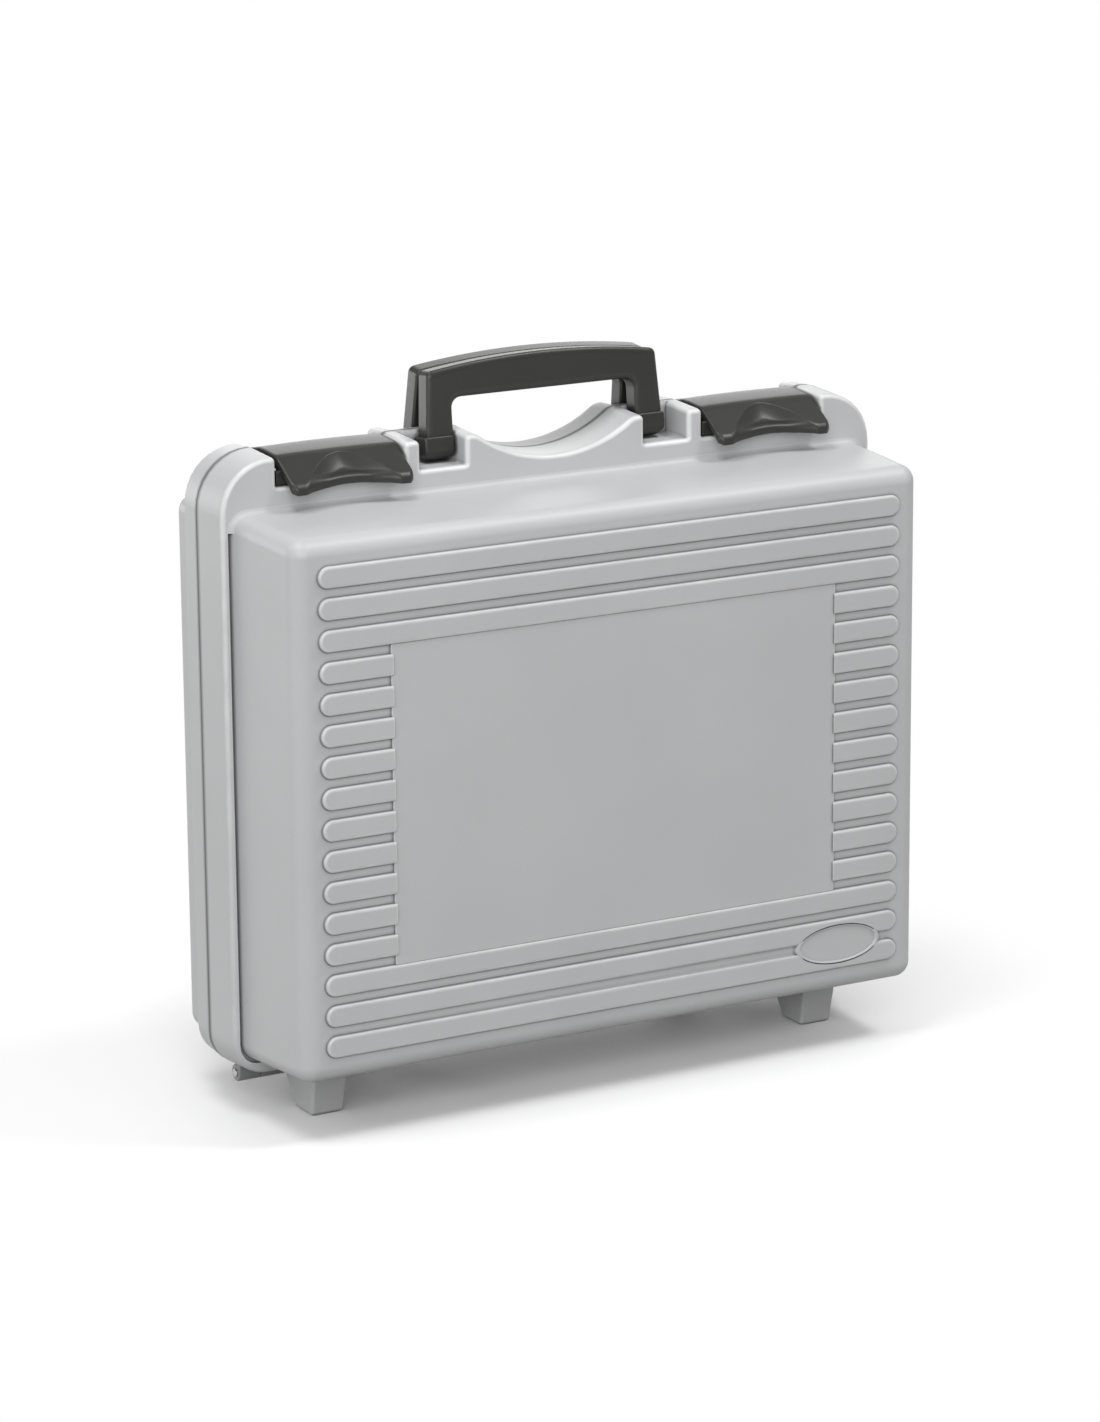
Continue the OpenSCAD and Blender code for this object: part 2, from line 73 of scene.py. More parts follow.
Flat = tuple[float, float]
Colour = tuple[float, float, float]
Ring = list[bmesh.types.BMVert]
Socket = bpy.types.NodeSocket
Inputs = dict[str | int, object]
LEFT, RIGHT = -1.0, 1.0
MM = 0.001


# ---------------------------------------------------------------- sizes

@dataclass(frozen=True)
class CaseSizes:
    """Sizes of the case that its pieces share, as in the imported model."""

    box_w: float = 342.0
    box_h: float = 263.0
    draft: float = 3.0
    edge_r: float = 8.0
    wall: float = 2.6
    gap: float = 0.15
    stand_h: float = 25.5
    y_part: float = 20.25
    rim_half: float = 176.0
    rim_z0: float = 18.0
    rim_z1: float = 313.0
    seat_z: float = 298.0
    rim_top_r: float = 26.9
    rim_bottom_r: float = 18.0
    rim_edge_r: float = 2.5
    mouth_r: float = 2.6
    notch_in: float = 80.0
    notch_w: float = 66.5
    pocket_in: float = 48.0
    pocket_w: float = 24.0
    pocket_back: float = 2.6
    scoop_half: float = 42.0
    scoop_d: float = 15.0
    scoop_end_r: float = 9.0
    hinge_z: float = 13.4
    hinge_out: float = 163.0
    knuckle_r: float = 4.2
    knuckle_len: float = 11.2
    knuckle_pitch: float = 11.5

    @property
    def slope(self) -> float:
        """Draft as a slope."""
        return math.tan(math.radians(self.draft))

    @property
    def z_mid(self) -> float:
        """Height of the middle of the boxes."""
        return self.stand_h + self.box_h / 2

    @property
    def box_z1(self) -> float:
        """Height of the top of the boxes at the parting plane."""
        return self.stand_h + self.box_h


CASE = CaseSizes()


class Half(Enum):
    """The two halves of the case, with the direction in which each grows from the parting plane."""

    FRONT = -1
    REAR = 1

    def y(self, depth: float) -> float:
        """World Y in millimetres of a distance from the parting plane."""
        return CASE.y_part + self.value * depth


# ---------------------------------------------------------------- outlines

class Station(NamedTuple):
    """One ring of a prism: its distance along, how far its outline shrinks there, and how much wear and painted
    highlight it carries.
    """

    along: float
    inset: float = 0.0
    wear_sheen_dust_shade_level: float = 0.0


def rounded(corners: Sequence[Corner], steps: int = 8) -> list[Flat]:
    """Closed outline through corners, each rounded with its own radius.

    Args:
        corners: X, Z and radius of each corner, in order.
        steps: Facets in each rounded corner.

    Returns:
        The outline's points.
    """
    outline: list[Flat] = []
    for i, (x, z, r) in enumerate(corners):
        if r <= 0:
            outline.append((x, z))
            continue
        here = Vector((x, z))
        back = (Vector(corners[i - 1][:2]) - here).normalized()
        ahead = (Vector(corners[(i + 1) % len(corners)][:2]) - here).normalized()
        half = back.angle(ahead) / 2
        centre = here + (back + ahead).normalized() * (r / math.sin(half))
        start = here + back * (r / math.tan(half)) - centre
        end = here + ahead * (r / math.tan(half)) - centre
        first = math.atan2(start.y, start.x)
        turn = (math.atan2(end.y, end.x) - first + math.pi) % (2 * math.pi) - math.pi
        for k in range(steps + 1):
            a = first + turn * k / steps
            outline.append((centre.x + r * math.cos(a), centre.y + r * math.sin(a)))
    return outline


def worn_sheen_corners(corners: Sequence[Corner], steps: int = 8) -> list[float]:
    """Wear and painted highlight of each point of a rounded outline: 1 in the middle of a small rounding, 0
    elsewhere.
    """
    wear_sheen_dust_shade_mark: list[float] = []
    for _, _, r in corners:
        if r <= 0:
            wear_sheen_dust_shade_mark.append(0.0)
        else:
            small = 1.0 <= r <= 4.0
            wear_sheen_dust_shade_mark += [math.sin(math.pi * k / steps) if small else 0.0 for k in range(steps + 1)]
    return wear_sheen_dust_shade_mark


def shrunk(outline: Sequence[Flat], amount: float) -> list[Flat]:
    """The outline moved inwards by an amount, square to its own edges.

    Args:
        outline: Points of a closed outline.
        amount: Distance, negative to grow it.

    Returns:
        As many points as the outline has.
    """
    if abs(amount) < 1e-9:
        return list(outline)
    pts = [Vector(p) for p in outline]
    area = sum(pts[i - 1].x * p.y - p.x * pts[i - 1].y for i, p in enumerate(pts))
    sign = 1.0 if area > 0 else -1.0
    moved: list[Flat] = []
    for i, p in enumerate(pts):
        e1 = p - pts[i - 1]
        e2 = pts[(i + 1) % len(pts)] - p
        n1 = Vector((-e1.y, e1.x)).normalized() * sign
        n2 = Vector((-e2.y, e2.x)).normalized() * sign
        q = p + (n1 + n2) / max(1.0 + n1.dot(n2), 0.3) * amount
        moved.append((q.x, q.y))
    return moved


def rectangle(half_w: float, z0: float, z1: float, r: float, steps: int = 10) -> list[Flat]:
    """Upright rectangle with rounded corners, centred on X = 0."""
    return rounded([(-half_w, z0, r), (half_w, z0, r), (half_w, z1, r), (-half_w, z1, r)], steps)


def box_outline(shrink: float, r: float) -> list[Flat]:
    """Outline of the boxes, drawn in by an amount from their outline at the parting plane."""
    return rectangle(CASE.box_w / 2 - shrink, CASE.stand_h + shrink, CASE.box_z1 - shrink, r)


def ellipse(cx: float, cz: float, a: float, b: float, n: int = 96) -> list[Flat]:
    """Ellipse as an outline."""
    turns = [2 * math.pi * i / n for i in range(n)]
    return [(cx + a * math.cos(turn), cz + b * math.sin(turn)) for turn in turns]


def end_rounding(end: float, along: float, across: float, steps: int, wear_sheen_dust_shade_level: float = 0.0) -> list[Station]:
    """Stations of the rounded edge at an end of a prism.

    Args:
        end: Where the prism ends.
        along: Reach of the rounding along the prism, negative where the prism begins.
        across: Reach of the rounding into the outline.
        steps: Facets of the rounding.
        wear_sheen_dust_shade_level: How much wear and painted highlight the middle of the rounding carries.

    Returns:
        The stations, the end itself last.
    """
    turns = [math.pi / 2 * k / steps for k in range(steps + 1)]
    return [Station(end - along * (1 - math.sin(a)), across * (1 - math.cos(a)), wear_sheen_dust_shade_level * math.sin(2 * a))
            for a in turns]


def arc_stations(start: float, depth: float, r: float, steps: int, wear_sheen_dust_shade_level: float = 0.0) -> list[Station]:
    """Stations of a prism that ends at a depth in a rounded edge of radius r."""
    return [Station(start)] + end_rounding(depth, r, r, steps, wear_sheen_dust_shade_level)


def both_ends(y0: float, y1: float, r: float, steps: int) -> list[Station]:
    """Stations of a prism whose two ends both have rounded edges."""
    return end_rounding(y0, -r, r, steps)[::-1] + end_rounding(y1, r, r, steps)


# ---------------------------------------------------------------- meshes

class Skin:
    """A mesh in the making, in millimetres."""

    def __init__(self) -> None:
        """Starts an empty mesh."""
        self.bm = bmesh.new()
        # Wear and painted highlight above 0, dust and painted shade below 0, which the materials read
        self.wear_sheen_dust_shade_mark = self.bm.verts.layers.float.new("rubbed_edge")

    def ring(self, points: Sequence[Sequence[float]], wear_sheen_dust_shade_level: float | Sequence[float] = 0.0) -> Ring:
        """Adds points in space as one ring of vertices.

        Args:
            points: The points.
            wear_sheen_dust_shade_level: How much wear and painted highlight the surface carries there, for all
                of them or for each.
            Below 0 it is darkened: dust on the parting seam, painted shade elsewhere.

        Returns:
            The ring.
        """
        verts = [self.bm.verts.new(p) for p in points]
        values = [wear_sheen_dust_shade_level] * len(verts) if isinstance(wear_sheen_dust_shade_level, (int, float)) else wear_sheen_dust_shade_level
        for vert, value in zip(verts, values):
            vert[self.wear_sheen_dust_shade_mark] = value
        return verts

    def bridge(self, a: Ring, b: Ring, closed: bool = True) -> None:
        """Joins two rings of equal length with quads."""
        n = len(a)
        for i in range(n if closed else n - 1):
            j = (i + 1) % n
            self.bm.faces.new((a[i], a[j], b[j], b[i]))

    def cap(self, *rings: Ring) -> None:
        """Closes a flat ring, or a ring with other rings as its holes."""
        if len(rings) == 1:
            self.bm.faces.new(rings[0])
            return
        edges = [self.bm.edges.get((r[i - 1], r[i])) for r in rings for i in range(len(r))]
        bmesh.ops.triangle_fill(self.bm, use_beauty=True, edges=edges)

    def loft(self, rings: Sequence[Ring], caps: Sequence[int] = (0, -1), closed: bool = True) -> None:
        """Joins each ring to the next.

        Args:
            rings: Rings of equal length.
            caps: Which of them are closed with a flat face.
            closed: Whether the rings run all the way round.
        """
        for a, b in pairwise(rings):
            self.bridge(a, b, closed)
        for index in caps:
            self.cap(rings[index])

    def prism(self, outline: Sequence[Flat], stations: Sequence[Station],
              place: Callable[[float, float, float], Sequence[float]]) -> None:
        """Adds a solid with one outline all along.

        Args:
            outline: The outline.
            stations: The rings along the solid.
            place: Turns an outline point and a distance into a point in space.
        """
        self.loft([self.ring([place(u, v, along) for u, v in shrunk(outline, inset)], wear_sheen_dust_shade_level)
                   for along, inset, wear_sheen_dust_shade_level in stations])

    def block(self, lo: Sequence[float], hi: Sequence[float]) -> None:
        """Adds an upright block between two corners."""
        (x0, y0, z0), (x1, y1, z1) = lo, hi
        self.loft([self.ring([(x0, y0, z), (x1, y0, z), (x1, y1, z), (x0, y1, z)]) for z in (z0, z1)])

    def turned(self, length: float, r: float, end: Sequence[Flat], start: Sequence[float],
               steps: int) -> None:
        """Adds a round bar along X, with both ends alike.

        Args:
            length: Its length.
            r: Its radius.
            end: Points of an end's edge: distance from the end, and how much is missing from the radius.
            start: Where its axis begins.
            steps: Facets round the axis.
        """
        x0, y0, z0 = start
        profile = [(x, r - less) for x, less in end] + [(length - x, r - less) for x, less in reversed(end)]
        self.loft([self.ring([(x0 + x, y, z) for y, z in ellipse(y0, z0, r, r, steps)]) for x, r in profile])

    def finish(self, name: str, bevel: float = 0.0, sharp: float = 38.0) -> bpy.types.Object:
        """Turns the mesh into an object in metres, with its normals outwards.

        Args:
            name: Name of the piece.
            bevel: Width of the bevel on its sharp edges, in millimetres.
            sharp: Angle in degrees from which an edge stays sharp.

        Returns:
            The new object, linked to the scene.
        """
        bmesh.ops.remove_doubles(self.bm, verts=self.bm.verts, dist=1e-4)
        bmesh.ops.dissolve_degenerate(self.bm, edges=self.bm.edges, dist=1e-4)
        bmesh.ops.recalc_face_normals(self.bm, faces=self.bm.faces)
        bmesh.ops.scale(self.bm, vec=(MM, MM, MM), verts=self.bm.verts)
        mesh = bpy.data.meshes.new(name)
        self.bm.to_mesh(mesh)
        self.bm.free()
        piece = bpy.data.objects.new(name, mesh)
        bpy.context.scene.collection.objects.link(piece)
        if bevel:
            mod = piece.modifiers.new("soft_edges", "BEVEL")
            mod.width = bevel * MM
            mod.segments = 3
            mod.limit_method = "ANGLE"
            mod.angle_limit = math.radians(35)
            mod.use_clamp_overlap = True
            apply_modifiers(piece)
        soften(piece, sharp)
        return piece


def apply_modifiers(piece: bpy.types.Object) -> None:
    """Gives a piece the plain mesh that its modifiers make."""
    graph = bpy.context.evaluated_depsgraph_get()
    graph.update()
    mesh = bpy.data.meshes.new_from_object(piece.evaluated_get(graph))
    mesh.name = piece.name
    piece.modifiers.clear()
    piece.data = mesh


def soften(piece: bpy.types.Object, sharp: float) -> None:
    """Shades a piece smoothly, keeping edges past an angle sharp and flat faces flat."""
    piece.data.shade_smooth()
    piece.data.set_sharp_from_angle(angle=math.radians(sharp))
    mod = piece.modifiers.new("flat_faces", "WEIGHTED_NORMAL")
    mod.keep_sharp = True
    mod.weight = 60


# ---------------------------------------------------------------- nodes

class Nodes:
    """Adds nodes to a node tree and links them."""

    def __init__(self, tree: bpy.types.NodeTree) -> None:
        """Works on one tree."""
        self.tree = tree

    @classmethod
    def of(cls, owner: bpy.types.Material | bpy.types.World) -> Nodes:
        """Empties the tree of a material or world, to fill it."""
        owner.use_nodes = True
        owner.node_tree.nodes.clear()
        return cls(owner.node_tree)

    def add(self, kind: str, inputs: Inputs | None = None, **settings: object) -> bpy.types.Node:
        """Adds a node.

        Args:
            kind: Blender's name of the node type.
            inputs: Value or output socket for each of its inputs, by name or number.
            settings: Settings of the node itself.

        Returns:
            The node.
        """
        node = self.tree.nodes.new(kind)
        for key, value in settings.items():
            setattr(node, key, value)
        for key, value in (inputs or {}).items():
            if isinstance(value, Socket):
                self.tree.links.new(value, node.inputs[key])
            else:
                node.inputs[key].default_value = value
        return node

    def out(self, kind: str, inputs: Inputs | None = None,
            **settings: object) -> Socket:
        """Adds a node and returns its first output."""
        return self.add(kind, inputs, **settings).outputs[0]

    def math(self, operation: str, a: object, b: object = 0.0, clamp: bool = False) -> Socket:
        """Adds a Math node and returns its value."""
        return self.out("ShaderNodeMath", {0: a, 1: b}, operation=operation, use_clamp=clamp)

    def vector(self, x: object = 0.0, y: object = 0.0, z: object = 0.0) -> Socket:
        """Adds a node that joins three numbers, and returns the vector."""
        return self.out("ShaderNodeCombineXYZ", {0: x, 1: y, 2: z})

    def vector_math(self, operation: str, a: object, b: object = (0.0, 0.0, 0.0)) -> Socket:
        """Adds a Vector Math node, and returns its number if its operation gives one, or else its vector."""
        node = self.add("ShaderNodeVectorMath", {0: a, 1: b}, operation=operation)
        return node.outputs["Value" if operation in ("LENGTH", "DOT_PRODUCT") else "Vector"]

    def remap(self, value: object, low: float, high: float, kind: str = "LINEAR") -> Socket:
        """Adds a Map Range node that turns the range from low to high into 0 to 1."""
        return self.out("ShaderNodeMapRange", {"Value": value, "From Min": low, "From Max": high},
                        interpolation_type=kind)

    def noise(self, place: object, scale: object, detail: float, roughness: float = 0.5) -> Socket:
        """Adds a Noise Texture node and returns its value."""
        return self.add("ShaderNodeTexNoise", {"Vector": place, "Scale": scale, "Detail": detail,
                                               "Roughness": roughness}).outputs["Fac"]

    def blend(self, amount: object, a: object, b: object) -> Socket:
        """Mixes two colours, each given as a socket or as red, green and blue."""
        a, b = (c if isinstance(c, Socket) else (*c, 1) for c in (a, b))
        return self.add("ShaderNodeMix", {0: amount, 6: a, 7: b}, data_type="RGBA").outputs[2]

    def group(self, tree: bpy.types.NodeTree, inputs: Inputs) -> bpy.types.bpy_prop_collection:
        """Adds a node group and returns its outputs."""
        return self.add("ShaderNodeGroup", inputs, node_tree=tree).outputs

    def surface(self, tone: object, rough: object, height: object, strength: float, depth: float,
                metallic: float = 0.0) -> None:
        """Adds the shader of a finish and puts it out.

        Args:
            tone: Its colour.
            rough: Its roughness.
            height: Height of its fine relief.
            strength: Strength of the relief.
            depth: Depth of the relief in metres.
            metallic: 1 for metal.
        """
        bump = self.add("ShaderNodeBump", {"Height": height, "Strength": strength, "Distance": depth})
        shader = self.out("ShaderNodeBsdfPrincipled", {
            "Base Color": tone, "Roughness": rough, "Normal": bump.outputs["Normal"], "Metallic": metallic})
        self.add("ShaderNodeOutputMaterial", {"Surface": shader})


# ---------------------------------------------------------------- finishes

def new_group(name: str, inputs: dict[str, float], *outputs: str) -> Nodes:
    """Starts a shader node group.

    Args:
        name: Name of the group.
        inputs: Its number inputs with their plain values, besides the place.
        outputs: Its number outputs.

    Returns:
        A helper that adds nodes to the group.
    """
    tree = bpy.data.node_groups.new(name, "ShaderNodeTree")
    tree.interface.new_socket(name="Place", in_out="INPUT", socket_type="NodeSocketVector")
    for key, value in inputs.items():
        socket = tree.interface.new_socket(name=key, in_out="INPUT", socket_type="NodeSocketFloat")
        socket.default_value = value
    for key in outputs:
        tree.interface.new_socket(name=key, in_out="OUTPUT", socket_type="NodeSocketFloat")
    return Nodes(tree)


def moulded_grain_group() -> bpy.types.NodeTree:
    """Fine spark-eroded grain of moulded plastic, as a height, a speckle and a slow unevenness."""
    nodes = new_group("moulded_grain", {"Grain Size": 0.35, "Waviness": 0.3}, "Height", "Speckle", "Cloud")
    given = nodes.add("NodeGroupInput").outputs
    place = given["Place"]
    per_metre = nodes.math("DIVIDE", 1000.0, given["Grain Size"])
    fine = nodes.noise(place, per_metre, 2.0, 0.6)
    pits = nodes.out("ShaderNodeTexVoronoi", {
        "Vector": place, "Scale": nodes.math("MULTIPLY", per_metre, 0.62)}, feature="SMOOTH_F1")
    slow = nodes.noise(place, 14.0, 3.0)
    height = nodes.math("ADD", nodes.math("MULTIPLY", fine, 0.6), nodes.math("MULTIPLY", pits, 0.55))
    height = nodes.math("ADD", height, nodes.math("MULTIPLY", slow, given["Waviness"]))
    nodes.add("NodeGroupOutput", {"Height": height, "Speckle": nodes.remap(fine, 0.35, 0.65),
                                  "Cloud": nodes.remap(slow, 0.3, 0.7)})
    return nodes.tree


def worn_sheen_edge_group() -> bpy.types.NodeTree:
    """Mask of the outer edges that carry wear and a painted highlight: sharp ones, and small roundings that are
    marked.

    A mark below 0 stands for dust and painted shade, and takes the wear and highlight away.
    """
    nodes = new_group("worn_edges", {"Reach": 0.0012, "Break Up": 0.5, "Marked": 0.0}, "Mask")
    given = nodes.add("NodeGroupInput").outputs
    soft = nodes.out("ShaderNodeBevel", {"Radius": given["Reach"]}, samples=4)
    flat = nodes.add("ShaderNodeNewGeometry").outputs["Normal"]
    facing = nodes.vector_math("DOT_PRODUCT", soft, flat)
    turned = nodes.math("MULTIPLY", nodes.math("SUBTRACT", 1.0, facing), 6.0, True)
    open_air = nodes.add("ShaderNodeAmbientOcclusion", {"Distance": 0.003}, samples=4, only_local=True)
    sharp = nodes.math("MULTIPLY", turned, nodes.remap(open_air.outputs["AO"], 0.72, 0.9))
    both = nodes.math("MAXIMUM", sharp, given["Marked"])
    both = nodes.math("ADD", both, nodes.math("MINIMUM", given["Marked"], 0.0), True)
    broken = nodes.math("SUBTRACT", 0.62, nodes.noise(given["Place"], 70.0, 4.0))
    broken = nodes.math("MAXIMUM", nodes.math("MULTIPLY", broken, given["Break Up"]), 0.0)
    nodes.add("NodeGroupOutput", {"Mask": nodes.math("SUBTRACT", both, broken, True)})
    return nodes.tree


def crease_shade_group() -> bpy.types.NodeTree:
    """Mask of painted shade in the creases, from ambient occlusion, densest at the foot of a rib or beside a
    lug.
    """
    nodes = new_group("dusty_creases", {"Reach": 0.002, "Break Up": 0.2}, "Mask")
    given = nodes.add("NodeGroupInput").outputs
    open_air = nodes.add("ShaderNodeAmbientOcclusion", {"Distance": given["Reach"]}, samples=6).outputs["AO"]
    deep = nodes.remap(open_air, 0.95, 0.5, "SMOOTHSTEP")
    thin = nodes.math("MULTIPLY", nodes.noise(given["Place"], 90.0, 3.0), given["Break Up"])
    keep = nodes.math("MULTIPLY", deep, nodes.math("SUBTRACT", 1.0, thin), True)
    nodes.add("NodeGroupOutput", {"Mask": keep})
    return nodes.tree


class Effects:
    """The shader groups that more than one finish uses, each built once."""

    def __init__(self) -> None:
        """Builds the groups."""
        self.grain = moulded_grain_group()
        self.wear_and_sheen = worn_sheen_edge_group()
        self.crease_shade = crease_shade_group()


@dataclass(frozen=True)
class MouldedPlastic:
    """Moulded plastic with a fine grain, a slow cloudiness, worn edges with a painted highlight and painted
    shade in its creases.
    """

    name: str
    colour: Colour
    light: Colour
    worn_and_sheen: Colour
    dust_and_shade: Colour
    roughness: float
    grain_size: float
    grain_depth: float
    wear_and_sheen: float
    dust_and_shade_amount: float
    edge_gloss: float = 0.1

    def material(self, effects: Effects) -> bpy.types.Material:
        """Builds the material.

        Args:
            effects: The shader groups.

        Returns:
            The material.
        """
        mat = bpy.data.materials.new(self.name)
        mat.diffuse_color = (*self.colour, 1)
        nodes = Nodes.of(mat)
        place = nodes.add("ShaderNodeTexCoord").outputs["Object"]
        marked = nodes.add("ShaderNodeAttribute", attribute_name="rubbed_edge").outputs["Fac"]
        grain = nodes.group(effects.grain, {"Place": place, "Grain Size": self.grain_size, "Waviness": 0.25})
        wear_and_sheen = nodes.group(effects.wear_and_sheen, {"Place": place, "Reach": 0.0012, "Break Up": 0.9,
                                          "Marked": marked})["Mask"]
        crease_shade = nodes.group(effects.crease_shade, {"Place": place})["Mask"]
        mottle = nodes.math("ADD", nodes.math("MULTIPLY", grain["Cloud"], 0.6),
                            nodes.math("MULTIPLY", grain["Speckle"], 0.4))
        tone = nodes.blend(mottle, self.colour, self.light)
        # Edges lighten towards the worn colour: wear and a painted highlight
        tone = nodes.blend(nodes.math("MULTIPLY", wear_and_sheen, self.wear_and_sheen), tone, self.worn_and_sheen)
        # Creases and places marked below 0 darken: painted shade, and dust on the parting seam
        painted_shade = nodes.math("MAXIMUM", crease_shade, nodes.math("MULTIPLY", marked, -1.0))
        tone = nodes.blend(nodes.math("MULTIPLY", painted_shade, self.dust_and_shade_amount), tone, self.dust_and_shade)
        rough = nodes.math("ADD", self.roughness, nodes.math("MULTIPLY", grain["Speckle"], 0.08))
        rough = nodes.math("SUBTRACT", rough, nodes.math("MULTIPLY", wear_and_sheen, self.edge_gloss))
        nodes.surface(tone, rough, grain["Height"], 1.0, self.grain_depth * MM)
        return mat


@dataclass(frozen=True)
class DrawnSteel:
    """Drawn steel wire with lines along X."""

    name: str = "drawn_steel"
    colour: Colour = (0.62, 0.61, 0.59)
    dark: Colour = (0.38, 0.37, 0.36)
    roughness: float = 0.28

    def material(self, effects: Effects) -> bpy.types.Material:
        """Builds the material.

        Args:
            effects: The shader groups.

        Returns:
            The material.
        """
        mat = bpy.data.materials.new(self.name)
        mat.diffuse_color = (*self.colour, 1)
        nodes = Nodes.of(mat)
        place = nodes.add("ShaderNodeTexCoord").outputs["Object"]
        along = nodes.out("ShaderNodeMapping", {"Vector": place, "Scale": (60.0, 2600.0, 2600.0)})
        lines = nodes.noise(along, 1.0, 3.0)
        # Edges lighten: wear and a painted highlight
        wear_and_sheen = nodes.group(effects.wear_and_sheen, {"Place": place, "Reach": 0.0006})["Mask"]
        amount = nodes.math("ADD", lines, nodes.math("MULTIPLY", wear_and_sheen, 0.4), True)
        rough = nodes.math("ADD", self.roughness - 0.08, nodes.math("MULTIPLY", lines, 0.2))
        nodes.surface(nodes.blend(amount, self.dark, self.colour), rough, lines, 0.4, 0.02 * MM, 1.0)
        return mat


FINISHES = {
    # The worn colours paint edge highlights as well as wear; the dust colours paint shade in creases
    "shell": MouldedPlastic(
        "silver_grey_shell", colour=(0.50, 0.503, 0.510), light=(0.55, 0.553, 0.560), worn_and_sheen=(0.80, 0.80, 0.80),
        dust_and_shade=(0.10, 0.10, 0.103), roughness=0.40, grain_size=0.42, grain_depth=0.035, wear_and_sheen=0.75, dust_and_shade_amount=0.85),
    "fittings": MouldedPlastic(
        "black_fitting", colour=(0.018, 0.018, 0.017), light=(0.027, 0.0265, 0.024), worn_and_sheen=(0.07, 0.07, 0.066),
        dust_and_shade=(0.006, 0.006, 0.006), roughness=0.34, grain_size=0.5, grain_depth=0.02, wear_and_sheen=0.35, dust_and_shade_amount=0.7),
    "steel": DrawnSteel(),
}


class Wardrobe:
    """The finished materials, one for each material slot of the record."""

    def __init__(self) -> None:
        """Builds the materials."""
        effects = Effects()
        self.materials = {slot: finish.material(effects) for slot, finish in FINISHES.items()}


@dataclass
class SubAssembly:
    """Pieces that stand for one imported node, ride on its body and share one finish."""

    node: str
    body: str
    wardrobe: Wardrobe
    slot: ClassVar[str] = "fittings"

    def own(self, piece: bpy.types.Object) -> None:
        """Gives a piece the sub-assembly's finish, body and node."""
        piece.data.materials.clear()
        piece.data.materials.append(self.wardrobe.materials[self.slot])
        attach(piece, self.body)
        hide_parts(self.node)
        LOG.info("%s: %d faces on %s", piece.name, len(piece.data.polygons), self.body)


# ---------------------------------------------------------------- geometry node trees

class MeshTree:
    """A Geometry Nodes tree with named inputs, whose result becomes a plain mesh object."""

    SHARP: ClassVar[float] = 50.0

    def __init__(self, name: str, inputs: dict[str, Sequence[str]]) -> None:
        """Starts the tree.

        Args:
            name: Name of the tree.
            inputs: Names of its inputs, for each kind of socket.
        """
        self.tree = bpy.data.node_groups.new(name, "GeometryNodeTree")
        self.tree.is_modifier = True
        self.nodes = Nodes(self.tree)
        face = self.tree.interface
        face.new_socket(name="Geometry", in_out="INPUT", socket_type="NodeSocketGeometry")
        self.ids: dict[str, str] = {
            label: face.new_socket(name=label, in_out="INPUT", socket_type="NodeSocket" + kind).identifier
            for kind, labels in inputs.items() for label in labels}
        face.new_socket(name="Geometry", in_out="OUTPUT", socket_type="NodeSocketGeometry")
        self.given = self.nodes.add("NodeGroupInput").outputs

    def joined(self, *parts: Socket) -> Socket:
        """Several geometries as one."""
        join = self.nodes.add("GeometryNodeJoinGeometry")
        for part in parts:
            self.tree.links.new(part, join.inputs[0])
        return join.outputs[0]

    def row(self, piece: Socket, count: Socket, start: Socket,
            step: Socket, turn: float = 0.0) -> Socket:
        """Copies of a piece along a line, each turned about its own Z."""
        line = self.nodes.out("GeometryNodeMeshLine", {
            "Count": count, "Start Location": start, "Offset": step}, mode="OFFSET")
        return self.nodes.out("GeometryNodeInstanceOnPoints", {"Points": line, "Instance": piece,
                                                               "Rotation": (0.0, 0.0, turn)})

    def put_out(self, geometry: Socket) -> None:
        """Gives the result its finish and ends the tree."""
        self.nodes.add("NodeGroupOutput", {0: self.nodes.out(
            "GeometryNodeSetMaterial", {"Geometry": geometry, "Material": self.given["Finish"]})})

    def make(self, name: str, values: dict[str, object]) -> bpy.types.Object:
        """Runs the tree and turns its result into a plain mesh object.

        Args:
            name: Name of the piece.
            values: Value of each named input, lengths in metres.

        Returns:
            The new object, without a modifier of the tree.
        """
        piece = bpy.data.objects.new(name, bpy.data.meshes.new(name + "_start"))
        bpy.context.scene.collection.objects.link(piece)
        mod = piece.modifiers.new("make", "NODES")
        mod.node_group = self.tree
        for key, value in values.items():
            mod[self.ids[key]] = value
        apply_modifiers(piece)
        soften(piece, self.SHARP)
        return piece


